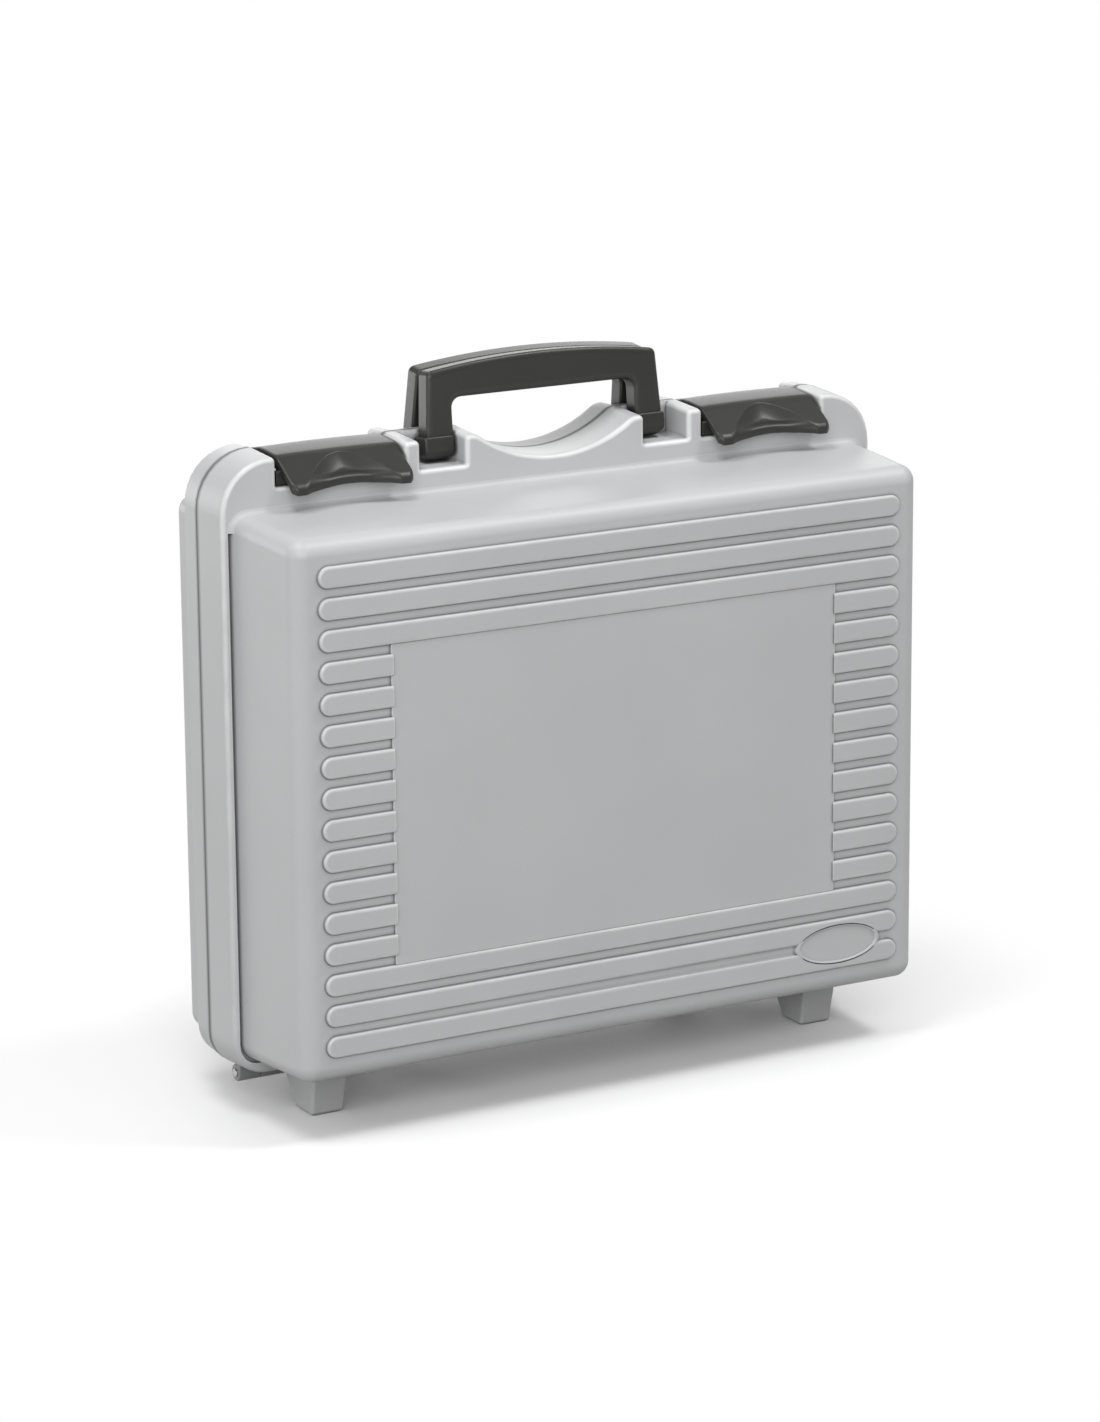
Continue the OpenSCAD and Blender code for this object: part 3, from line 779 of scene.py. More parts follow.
class RibRows(MeshTree):
    """Lays long and short ribs on a panel, row by row.

    PROFILE is the side of a rib from its foot to its top: distance out from its nominal side in millimetres,
    and share of its height; its first ring is a flat skirt that carries a painted shade line round the foot.
    SHEEN_AND_SHADE says for each ring above the first how much painted highlight it carries, or below 0 how
    much painted shade.
    """

    NUMBERS = ("Rib Width", "Rib Height", "Pitch", "Long Length", "Short Length", "Short Centre",
               "Rib Overlap", "Panel Tilt", "Panel Depth", "Panel Height")
    COUNTS = ("Long Rows", "Short Rows", "End Facets")
    PROFILE = ((0.9, -0.03), (0.6, 0.02), (0.28, 0.04), (0.08, 0.14), (0.0, 0.34), (-0.06, 0.58), (-0.3, 0.8),
               (-0.75, 0.94), (-1.3, 0.99), (-2.0, 1.0))
    SHEEN_AND_SHADE = (-0.5, -0.95, -0.95, -0.5, 0.0, 0.5, 0.7, 0.3, 0.0)

    def __init__(self) -> None:
        """Builds the tree."""
        super().__init__("rib_rows", {"Float": self.NUMBERS, "Int": self.COUNTS, "Material": ("Finish",)})
        self._fill()

    def _pad(self, length: Socket, limit: Socket | None) -> Socket:
        """One rib that lies in XY and rises along Z.

        Args:
            length: Length of the rib over its round ends.
            limit: Where the rib is cut off square at its +X end, or None.

        Returns:
            The rib's geometry.
        """
        n, width, height = self.nodes, self.given["Rib Width"], self.given["Rib Height"]
        half = n.math("MULTIPLY", width, 0.5)
        reach = n.math("SUBTRACT", n.math("MULTIPLY", length, 0.5), half)
        foot_out, foot_up = self.PROFILE[0]
        foot = foot_out * MM
        quad = n.out("GeometryNodeCurvePrimitiveQuadrilateral", {
            "Width": n.math("ADD", length, 2 * foot), "Height": n.math("ADD", width, 2 * foot)})
        round_ends = n.out("GeometryNodeFilletCurve", {
            "Curve": quad, "Count": self.given["End Facets"],
            "Radius": n.math("MULTIPLY", n.math("ADD", half, foot), 0.9995)}, mode="POLY")
        fill = n.out("GeometryNodeFillCurve", {"Curve": round_ends}, mode="NGONS")
        at = n.out("GeometryNodeInputPosition")
        x, y, z = n.add("ShaderNodeSeparateXYZ", {0: at}).outputs
        inner = n.math("MINIMUM", n.math("MAXIMUM", x, n.math("MULTIPLY", reach, -1.0)), reach)
        spine = n.vector(inner, 0.0, z)
        away = n.vector_math("NORMALIZE", n.vector_math("SUBTRACT", at, spine))
        shape = n.out("GeometryNodeTransform", {"Geometry": fill, "Translation": n.vector(
            z=n.math("MULTIPLY", height, foot_up))})
        base = n.out("GeometryNodeFlipFaces", {0: shape})
        top: Socket | bool = True
        for (_, below), (out, above), wear_sheen_dust_shade_level in zip(self.PROFILE, self.PROFILE[1:], self.SHEEN_AND_SHADE):
            lift = n.add("GeometryNodeExtrudeMesh", {
                "Mesh": shape, "Selection": top, "Offset": (0.0, 0.0, 1.0),
                "Offset Scale": n.math("MULTIPLY", height, above - below), "Individual": False}, mode="FACES")
            shape, top = lift.outputs["Mesh"], lift.outputs["Top"]
            ring = n.out("ShaderNodeVectorMath", {0: away, "Scale": n.math("ADD", half, out * MM)},
                         operation="SCALE")
            shape = n.out("GeometryNodeSetPosition", {"Geometry": shape, "Selection": top,
                                                      "Position": n.vector_math("ADD", spine, ring)})
            # Each ring gets its painted highlight, or below 0 its painted shade
            shape = n.out("GeometryNodeStoreNamedAttribute", {
                "Geometry": shape, "Selection": top, "Name": "rubbed_edge", "Value": wear_sheen_dust_shade_level},
                data_type="FLOAT", domain="POINT")
        shape = self.joined(shape, base)
        if limit is not None:
            cut = n.vector(n.math("MINIMUM", x, limit), y, z)
            shape = n.out("GeometryNodeSetPosition", {"Geometry": shape, "Position": cut})
        return n.out("GeometryNodeMergeByDistance", {"Geometry": shape, "Distance": 1e-6})

    def _fill(self) -> None:
        """Adds the tree's nodes."""
        n, g = self.nodes, self.given
        longs, shorts, pitch, overlap = g["Long Rows"], g["Short Rows"], g["Pitch"], g["Rib Overlap"]
        rows = n.math("ADD", n.math("MULTIPLY", longs, 2.0), shorts)
        first = n.math("MULTIPLY", n.math("MULTIPLY", n.math("SUBTRACT", rows, 1.0), 0.5), pitch)
        second = n.math("SUBTRACT", first, n.math("MULTIPLY", longs, pitch))
        third = n.math("SUBTRACT", second, n.math("MULTIPLY", shorts, pitch))
        limit = n.math("SUBTRACT", n.math("MULTIPLY", g["Short Length"], 0.5), overlap)
        short = self._pad(n.math("ADD", g["Short Length"], n.math("MULTIPLY", overlap, 2.0)), limit)
        long = self._pad(g["Long Length"], None)
        step = n.vector(y=n.math("MULTIPLY", pitch, -1.0))
        # The short rib is longer than it shows, so its middle moves until its outer end is in place
        centre = n.math("SUBTRACT", g["Short Centre"], overlap)
        ribs = self.joined(
            self.row(long, longs, n.vector(0.0, first), step),
            self.row(short, shorts, n.vector(n.math("MULTIPLY", centre, -1.0), second), step),
            self.row(short, shorts, n.vector(centre, second), step, math.pi),
            self.row(long, longs, n.vector(0.0, third), step))
        self.put_out(n.out("GeometryNodeTransform", {
            "Geometry": n.out("GeometryNodeRealizeInstances", {"Geometry": ribs}),
            "Rotation": n.vector(g["Panel Tilt"]),
            "Translation": n.vector(0.0, g["Panel Depth"], g["Panel Height"])}))


class CopyRow(MeshTree):
    """Repeats a piece along a line, and again in the mirrored places."""

    def __init__(self) -> None:
        """Builds the tree."""
        super().__init__("copy_row", {"Object": ("Piece",), "Int": ("Count",), "Vector": ("Start", "Step"),
                                      "Material": ("Finish",)})
        n, g = self.nodes, self.given
        piece = n.add("GeometryNodeObjectInfo", {"Object": g["Piece"]}).outputs["Geometry"]
        mirrored = [n.vector_math("MULTIPLY", g[key], (-1.0, 1.0, 1.0)) for key in ("Start", "Step")]
        both = self.joined(self.row(piece, g["Count"], g["Start"], g["Step"]),
                           self.row(piece, g["Count"], *mirrored))
        self.put_out(n.out("GeometryNodeRealizeInstances", {"Geometry": both}))


# ---------------------------------------------------------------- shells

@dataclass(frozen=True)
class Foot:
    """Sizes of a shell's feet: place, extent along Y at the ground, and how far they widen upwards."""

    x: float
    y: float
    depth: float
    back: float
    front: float
    width: float = 17.0
    corner_r: float = 1.6
    sole_z: float = 0.9


@dataclass
class ShellMoulding(SubAssembly):
    """One half of the case: box, rim with its ridge, panel relief, feet and knuckles."""

    half: Half
    depth: float
    rim_depth: float
    foot: Foot
    rib_rows: RibRows
    copy_row: CopyRow
    rib_w: float = 10.2
    rib_h: float = 1.8
    rib_pitch: float = 14.7
    rib_len: float = 310.0
    short_rib: float = 36.0
    short_under: float = 1.0
    long_rows: int = 3
    short_rows: int = 10
    label_rise: float = 1.1
    label_lap: float = 0.2
    oval: tuple[float, float, float] = (121.4, 43.0, 17.4)
    oval_rows_down: float = 7.0
    seam_gap: float = 0.02
    seam_r: float = 0.35
    channel_d: float = 3.0
    channel_w: float = 2.0
    channel_top: float = 8.0
    tongue_out: float = 1.4
    tongue_w: float = 1.6
    tongue_len: float = 2.85
    tongue_low: float = 6.0
    groove_w: float = 2.3
    groove_d: float = 3.3
    foot_fillet: float = 2.2
    bead_back: float = 9.5
    knuckle_up: float = 9.1
    knuckle_shade: float = -0.75
    slot: ClassVar[str] = "shell"

    def _at(self, x: float, z: float, y: float) -> tuple[float, float, float]:
        """Point in space of an outline point at a distance from the parting plane."""
        return (x, self.half.y(y), z)

    def _ring(self, skin: Skin, outline: Sequence[Flat], y: float) -> Ring:
        """Adds an outline to a mesh at a distance from the parting plane."""
        return skin.ring([self._at(x, z, y) for x, z in outline])

    def _own(self, skin: Skin, what: str) -> None:
        """Finishes a mesh as a piece of this shell."""
        self.own(skin.finish(self._name(what)))

    def _name(self, what: str) -> str:
        """Name of a piece of this shell."""
        return self.half.name.lower() + "_" + what

    def box(self) -> None:
        """Drafted box with rounded edges and its hollow inside, closed along the parting face."""
        skin = Skin()
        mouths = []
        for wall in (0.0, CASE.wall):
            rings, r = [], CASE.edge_r - wall
            for y, inset, _ in [Station(CASE.gap)] + end_rounding(self.depth - wall, r, r, 10):
                outline = box_outline(y * CASE.slope + inset + wall, max(r - inset, 0.25))
                rings.append(self._ring(skin, outline, y))
            skin.loft(rings, caps=(-1,))
            mouths.append(rings[0])
        skin.bridge(*mouths)
        self._own(skin, "box")

    def _scoop(self) -> list[Corner]:
        """Right half of the hand scoop and of the rounding that blends it into the top."""
        c = CASE
        big, q, top = (c.scoop_half ** 2 + c.scoop_d ** 2) / (2 * c.scoop_d), c.scoop_end_r, c.rim_z1
        above = big - c.scoop_d
        mid = math.sqrt((big + q) ** 2 - (above + q) ** 2)
        spread = math.atan2(mid, above + q)
        points: list[Corner] = []
        for k in range(1, 21):
            a = spread * k / 20
            points.append((big * math.sin(a), top + above - big * math.cos(a), 0.0))
        for k in range(1, 9):
            a = spread * (1 - k / 8)
            points.append((mid - q * math.sin(a), top - q + q * math.cos(a), 0.0))
        return points

    def rim_outline(self, pockets: bool) -> list[Corner]:
        """Corners of the rim with its ridge, seen from the front at the parting plane.

        Args:
            pockets: Whether the handle pockets are cut out of it.

        Returns:
            The corners with their radii.
        """
        c, half, seat_r = CASE, CASE.rim_half, 0.8
        top, seat, r = c.rim_z1, c.seat_z, c.mouth_r
        right = self._scoop()
        a, b = c.pocket_in, c.pocket_in + c.pocket_w
        if pockets:
            right += [(a, top, r), (a, seat, seat_r), (b, seat, seat_r), (b, top, r)]
        else:
            right += [(a - r, top, 0.0), (b + r, top, 0.0)]
        a, b = c.notch_in, c.notch_in + c.notch_w
        right += [(a, top, r), (a, seat, seat_r), (b, seat, seat_r), (b, top, r), (half, top, c.rim_top_r)]
        left = [(-x, z, rad) for x, z, rad in reversed(right)]
        low = [(half, c.rim_z0, c.rim_bottom_r), (-half, c.rim_z0, c.rim_bottom_r)]
        return right + low + left + [(0.0, top - c.scoop_d, 0.0)]

    def _drafted(self, x: float, z: float, y: float) -> tuple[float, float, float]:
        """Point of the rim at a distance from the parting plane, where its outer faces draw in."""
        draw, straight, low = y * CASE.slope, CASE.rim_half - CASE.rim_top_r, 40
        if abs(x) > straight:
            x -= math.copysign(draw * (abs(x) - straight) / CASE.rim_top_r, x)
        if z > CASE.seat_z:
            z -= draw * (z - CASE.seat_z) / (CASE.rim_z1 - CASE.seat_z)
        if z < low:
            z += draw * (low - z) / (low - CASE.rim_z0)
        return (x, self.half.y(y), z)

    def _band(self, width: float) -> list[Flat]:
        """Outline of the tongue, or of its groove: a band over the top and down both sides."""
        r, out, inn = CASE.edge_r, self.tongue_out + width / 2, self.tongue_out - width / 2
        x, z, low = CASE.box_w / 2, CASE.box_z1, CASE.stand_h + CASE.edge_r + self.tongue_low
        return rounded([(-x - out, low, 0), (-x - out, z + out, r + out), (x + out, z + out, r + out),
                        (x + out, low, 0), (x + inn, low, 0), (x + inn, z + inn, r + inn),
                        (-x - inn, z + inn, r + inn), (-x - inn, low, 0)], 8)

    def rim(self) -> None:
        """Rim round the box with its ridge, pockets, notches and scoop, as one closed skin."""
        c, facets, dust_and_shade_amount, top_edge_wear_sheen = CASE, 9, -1.0, 1.0
        start, deep = c.gap + self.seam_gap, self.rim_depth - self.channel_d
        plain = rounded(self.rim_outline(False), facets)
        cut = rounded(self.rim_outline(True), facets)
        mouths = worn_sheen_corners(self.rim_outline(True), facets)
        # The rim's edges carry the full painted highlight only near its top, where light from above catches
        # them
        least, from_z, over_z = 0.15, 262, 26
        sheen_by_height = [min(1.0, max(least, (z - from_z) / over_z)) for _, z in cut]
        skin = Skin()

        def ring(outline: Sequence[Flat], y: float, wear_sheen_dust_shade_level: float | Sequence[float] = 0.0) -> Ring:
            """Adds an outline to the rim's mesh, with the rim's draft."""
            return skin.ring([self._drafted(x, z, y) for x, z in outline], wear_sheen_dust_shade_level)

        back = [ring(shrunk(plain, self.seam_r), start, dust_and_shade_amount), ring(plain, start + self.seam_r, dust_and_shade_amount),
                ring(plain, c.pocket_back)]
        skin.loft(back, caps=())
        outer = [ring(cut, c.pocket_back, mouths)]
        for y, inset, wear_sheen_dust_shade_level in arc_stations(deep, self.rim_depth, c.rim_edge_r, 8, top_edge_wear_sheen):
            fade = 1 - inset / c.rim_edge_r
            wear_sheen_dust_shade_mark = [max(wear_sheen_dust_shade_level * share, mouth * fade) for mouth, share in zip(mouths, sheen_by_height)]
            outer.append(ring(shrunk(cut, inset), y, wear_sheen_dust_shade_mark))
        skin.loft(outer, caps=())
        low, high = c.pocket_in - c.mouth_r - 0.01, c.pocket_in + c.pocket_w + c.mouth_r + 0.01
        for side in (LEFT, RIGHT):
            skin.cap([v for v, (x, z) in zip(outer[0], cut) if low < side * x < high and z > c.seat_z - 0.01])
        near, far = self._rim_hole(skin, start, deep)
        holes = [near]
        if self.half is Half.FRONT:
            groove = [self._ring(skin, self._band(self.groove_w), y) for y in (start, self.groove_d)]
            skin.loft(groove, caps=(1,))
            holes.append(groove[0])
        skin.cap(back[0], *holes)
        skin.cap(outer[-1], far)
        self._own(skin, "rim")

    def _rim_hole(self, skin: Skin, start: float, deep: float) -> tuple[Ring, Ring]:
        """Inside of the rim round the box, which widens into a channel beside the box at the front.

        Args:
            skin: Mesh to add it to.
            start: Distance at which it begins.
            deep: Distance at which the channel begins.

        Returns:
            Its first ring and its last.
        """
        c, lap, channel, corner_r, facets = CASE, 1.6, self.channel_w, 0.6, 8
        w, z0, z1, r = c.box_w / 2 - lap, c.stand_h + lap, c.box_z1 - lap, c.edge_r - lap
        shrink = self.rim_depth * c.slope
        side, low = c.box_w / 2 - shrink + channel, c.stand_h + shrink - channel
        high, big = c.box_z1 - shrink - self.channel_top, c.edge_r + channel
        over = [(w, high, 0), (w, z1, r), (-w, z1, r), (-w, high, 0)]
        narrow = rounded(over + [(-w, z0, r), (w, z0, r)], facets)
        wide = rounded(over + [(-side, high, corner_r), (-side, low, big), (side, low, big),
                               (side, high, corner_r)], facets)
        rings = [self._ring(skin, loop, y)
                 for loop, y in ((narrow, start), (narrow, deep), (wide, deep), (wide, self.rim_depth))]
        skin.bridge(rings[0], rings[1])
        skin.bridge(rings[2], rings[3])
        top = 1 + (facets + 1) * 2
        skin.cap(rings[2][top:] + rings[2][:1] + rings[1][:1] + rings[1][top:][::-1])
        return rings[0], rings[3]

    def ridge_foot(self) -> None:
        """Fillet where the rim rises round the top of the box, from side to side over both corners."""
        r, sunk, y0 = self.foot_fillet, -1.2, self.rim_depth
        profile = [(sunk, y0 + sunk), (sunk, y0 + r)]
        for k in range(9):
            a = math.radians(5 + 85 * k / 8)
            profile.append((r - r * math.cos(a), y0 + r - r * math.sin(a)))
        profile.append((r, y0 + sunk))
        skin = Skin()
        over_top = slice(22, 44)
        rows = [self._ring(skin, shrunk(box_outline(y * CASE.slope, CASE.edge_r), -out)[over_top], y)
                for out, y in profile]
        skin.loft(rows + rows[:1], caps=(), closed=False)
        for end in (0, -1):
            skin.cap([row[end] for row in rows])
        self._own(skin, "ridge_foot")

    def ribs(self) -> None:
        """Ribs of the panel, with the place of the oval cut out on the front."""
        short = self.short_rib + self.short_under
        ribs = self.rib_rows.make(self._name("ribs"), {
            "Rib Width": self.rib_w * MM, "Rib Height": self.rib_h * MM, "Pitch": self.rib_pitch * MM,
            "Long Length": self.rib_len * MM, "Short Length": short * MM,
            "Short Centre": (self.rib_len / 2 - short / 2) * MM, "Rib Overlap": 0.006,
            "Panel Tilt": -self.half.value * math.pi / 2, "Panel Depth": self.half.y(self.depth) * MM,
            "Panel Height": CASE.z_mid * MM, "Long Rows": self.long_rows, "Short Rows": self.short_rows,
            "End Facets": 10, "Finish": self.wardrobe.materials["shell"]})
        if self.half is Half.FRONT:
            x, w, h = self.oval
            cutter = Skin()
            cutter.prism(ellipse(x, self.oval_z, w / 2 + 1.0, h / 2 + 0.6),
                         [Station(self.depth - 2), Station(self.depth + 4)], self._at)
            tool = cutter.finish("oval_tool")
            mod = ribs.modifiers.new("oval", "BOOLEAN")
            mod.operation, mod.solver, mod.object = "DIFFERENCE", "EXACT", tool
            ribs.modifiers.move(len(ribs.modifiers) - 1, 0)
            apply_modifiers(ribs)
            bpy.data.objects.remove(tool)
            soften(ribs, MeshTree.SHARP)
        self.own(ribs)

    @property
    def oval_z(self) -> float:
        """Height of the middle of the bare oval."""
        return CASE.z_mid - self.rib_pitch * self.oval_rows_down

    def label_field(self) -> None:
        """Flat field for a label between the short ribs, which just meets the long ribs over and under it."""
        half_h = (self.short_rows + 1) / 2 * self.rib_pitch - self.rib_w / 2 + self.label_lap
        half_w, z = self.rib_len / 2 - self.short_rib, CASE.z_mid
        outline = rectangle(half_w, z - half_h, z + half_h, 0.8, 4)
        skin = Skin()
        skin.prism(outline, arc_stations(self.depth - 0.8, self.depth + self.label_rise, 0.45, 4), self._at)
        self._own(skin, "label_field")

    def oval_pad(self) -> None:
        """Raised pad with the shallow bare oval in it."""
        x, w, h = self.oval
        base, top, floor = self.depth, self.depth + self.rib_h, self.depth + self.rib_h - 0.8
        side = ((2.9, base - 0.3), (2.5, base + 0.4), (2.3, base + 1.1), (1.9, base + 1.6))
        rim = ((1.4, top), (0.5, top), (0.1, top - 0.12), (-0.15, top - 0.4))
        bowl = ((-0.35, floor + 0.1), (-0.8, floor))
        skin = Skin()
        skin.loft([self._ring(skin, ellipse(x, self.oval_z, w / 2 + grow, h / 2 + grow * 0.8), y)
                   for grow, y in side + rim + bowl])
        self._own(skin, "oval_pad")

    def feet(self) -> None:
        """The shell's two feet, which widen upwards and lean out, with rounded edges."""
        foot, top = self.foot, CASE.stand_h + CASE.edge_r - 1.0
        y0, y1 = foot.y, foot.y + foot.depth
        mid = (y0 + y1) / 2
        skin = Skin()
        for side in (LEFT, RIGHT):
            x = side * foot.x
            levels = []
            for share in (0.0, 0.5, 1.0):
                z = top * share
                back = y0 - foot.back * max(0.0, min(1.0, z / CASE.rim_z0))
                outline = rectangle(foot.width / 2 + share, back, y1 + foot.front * share, foot.corner_r, 5)
                levels.append([(x + u, v, z or foot.sole_z) for u, v in outline])
            sole = [(x + (u - x) * 0.9, mid + (v - mid) * 0.92, 0.0) for u, v, _ in levels[0]]
            skin.loft([skin.ring([self._at(u, z, v) for u, v, z in level]) for level in [sole] + levels])
        self._own(skin, "feet")

    def knuckles(self) -> None:
        """Hinge knuckles that hang from the rim, every other one of each group, darkened all over with painted
        shade.
        """
        c, r, up = CASE, CASE.knuckle_r, self.knuckle_up
        start, count = (0, 3) if self.half is Half.FRONT else (1, 2)
        arc = [(r * math.cos(a), r * math.sin(a)) for a in
               (math.radians(-270 + 270 * k / 30) for k in range(1, 30))]
        outline = [(c.gap, r - 0.01), (0.0, r)] + arc + [(r, 0.0), (r + 1.0, up), (c.gap, up)]
        skin = Skin()
        skin.prism(outline, both_ends(-c.knuckle_len / 2, c.knuckle_len / 2, 0.5, 3),
                   lambda y, z, x: (x, self.half.value * y, z))
        # Painted shade over the whole knuckle
        for vert in skin.bm.verts:
            vert[skin.wear_sheen_dust_shade_mark] = self.knuckle_shade
        model = skin.finish("knuckle_model")
        first = c.hinge_out - start * c.knuckle_pitch - c.knuckle_len / 2
        row = self.copy_row.make(self._name("knuckles"), {
            "Piece": model, "Count": count, "Start": (first * MM, c.y_part * MM, c.hinge_z * MM),
            "Step": (-2 * c.knuckle_pitch * MM, 0.0, 0.0), "Finish": self.wardrobe.materials["shell"]})
        bpy.data.objects.remove(model)
        self.own(row)

    def tongue(self) -> None:
        """Tongue round the parting face, which enters the groove of the other shell."""
        skin = Skin()
        stations = [Station(-self.tongue_len, 0.35), Station(0.45 - self.tongue_len), Station(0.6)]
        skin.prism(self._band(self.tongue_w), stations, self._at)
        self._own(skin, "tongue")

    def catch_beads(self) -> None:
        """A low bead across the seat of each notch, which the latch snaps over."""
        skin = Skin()
        half, y = CASE.notch_w / 2 - 0.05, self.rim_depth - self.bead_back
        section = [(y + along, CASE.seat_z + rise) for along, rise in (
            (-1.9, -0.3), (-1.3, 0.25), (-0.6, 0.55), (0.0, 0.6), (0.6, 0.55), (1.3, 0.25), (1.9, -0.3))]
        for side in (LEFT, RIGHT):
            x = side * (CASE.notch_in + CASE.notch_w / 2)
            ends = [Station(x - half), Station(x + half)]
            skin.prism(section, ends, lambda v, z, u: (u, self.half.y(v), z))
        self._own(skin, "catch_beads")

    def build(self) -> None:
        """Builds every piece of the shell."""
        front = self.half is Half.FRONT
        for step in (self.box, self.rim, self.ridge_foot, self.ribs, self.label_field):
            step()
        if front:
            self.oval_pad()
        self.feet()
        self.knuckles()
        if front:
            self.catch_beads()
        else:
            self.tongue()


# ---------------------------------------------------------------- handle

@dataclass
class HandleHalf(SubAssembly):
    """One half of the handle: a bail with rounded edges, two lugs and their trunnions."""

    half: Half
    width: float = 127.4
    grip_w: float = 96.8
    grip_z: float = 23.2
    bar_h: float = 17.6
    thick: float = 10.8
    lean: float = 5.5
    lug_r: float = 5.5
    lug_step: float = 1.2
    taper: float = 2.2
    crown_drop: float = 4.6
    pivot_y: float = 9.0
    pivot_z: float = 304.25
    soft: float = 1.3
    pillow: tuple[float, float] = (1.7, 3.2)
    lug_proud: float = 0.8
    bail_shift: float = 0.8
    set_back: float = 0.9
    lug_bulge: float = 0.45
    lug_corner: float = 4.6
    leg_foot: float = 1.0
    outer_r: float = 3.4
    inner_r: float = 5.0
    trunnion_r: float = 2.6
    trunnion_len: float = 4.2

    def _place(self, x: float, y: float, z: float) -> tuple[float, float, float]:
        """Point in space of a point of the upright half, whose pivot is at 0: leans it on the other half."""
        a = math.radians(self.lean)
        v = self.pivot_y + y * math.cos(a) - z * math.sin(a)
        w = self.pivot_z + y * math.sin(a) + z * math.cos(a)
        if w > CASE.rim_z1:
            v = max(v, 0.2)
        return (x, self.half.y(v), w)

    def _bail(self, skin: Skin) -> None:
        """Legs and bar, as one outline with rounded edges on both faces."""
        w, top, foot = self.width / 2, self.grip_z + self.bar_h, self.leg_foot
        end, shoulder = w - self.taper, top - self.crown_drop
        radius = (end ** 2 + self.crown_drop ** 2) / (2 * self.crown_drop)
        crown: list[Corner] = []
        for k in range(1, 24):
            x = -end + 2 * end * k / 24
            crown.append((x, top - radius + math.sqrt(radius ** 2 - x ** 2), 0.0))
        inner = self.grip_w / 2 + self.lug_proud
        outline = rounded([(-w, foot, 0.0), (-end, shoulder, self.outer_r)] + crown
                          + [(end, shoulder, self.outer_r), (w, foot, 0.0), (inner, foot, 0.0),
                             (inner, self.grip_z, self.inner_r), (-inner, self.grip_z, self.inner_r),
                             (-inner, foot, 0.0)], 7)
        deep, wide = self.pillow
        # The rounding of the face towards the other half carries a little wear and painted highlight
        stations = end_rounding(self.lug_r - self.thick, -self.soft, self.soft, 5, 0.3)[::-1]
        stations += end_rounding(self.lug_r - self.set_back, deep, wide, 9)
        skin.prism(outline[::-1], stations, lambda x, z, y: self._place(x + self.bail_shift, y, z))

    def _lug(self, skin: Skin, side: float) -> None:
        """Round-bottomed lug at the foot of a leg."""
        x0, x1 = self.grip_w / 2 + 0.1, self.width / 2 + self.lug_step
        mid, half, r, q = (x0 + x1) / 2, (x1 - x0) / 2, self.lug_r, self.lug_corner
        soft_z = 5.0
        rows = []
        levels = [-r * math.cos(math.pi / 2 * k / 14) for k in range(14)]
        for z in levels + [0.0, 1.5, 3.0, 4.4, soft_z, 5.5, 5.8, 6.0]:
            deep = math.sqrt(max(r * r - z * z, 0.0)) if z < 0 else r
            deep += self.lug_bulge * max(0.0, 1 - ((z - 0.5) / 5.5) ** 2)
            wide = half
            if z < q - r:
                wide = half - q + math.sqrt(max(q * q - (q - r - z) ** 2, 0.0))
            if z > soft_z:
                soft = 1.0 - math.sqrt(1.0 - (z - soft_z) ** 2)
                deep, wide = deep - soft * 0.9, wide - soft * 1.2
            deep = max(deep, 0.8)
            outline = rectangle(wide, -deep, deep, min(1.6, deep * 0.6), 5)
            rows.append(skin.ring([self._place(side * (mid + u), v, z) for u, v in outline]))
        skin.loft(rows)

    def _trunnion(self, skin: Skin, side: float) -> None:
        """Pin that is moulded on a lug and points to the middle of the case."""
        root, tip, r = self.grip_w / 2 + 1.0, self.grip_w / 2 + 0.1 - self.trunnion_len, self.trunnion_r
        skin.loft([skin.ring([self._place(side * x, y, z) for y, z in ellipse(0.0, 0.0, radius, radius, 32)])
                   for x, radius in ((root, r), (tip + 0.5, r), (tip, r - 0.5))])

    def build(self) -> None:
        """Builds the half as one piece."""
        skin = Skin()
        self._bail(skin)
        for side in (LEFT, RIGHT):
            self._lug(skin, side)
            self._trunnion(skin, side)
        self.own(skin.finish(self.half.name.lower() + "_grip"))


# ---------------------------------------------------------------- latches

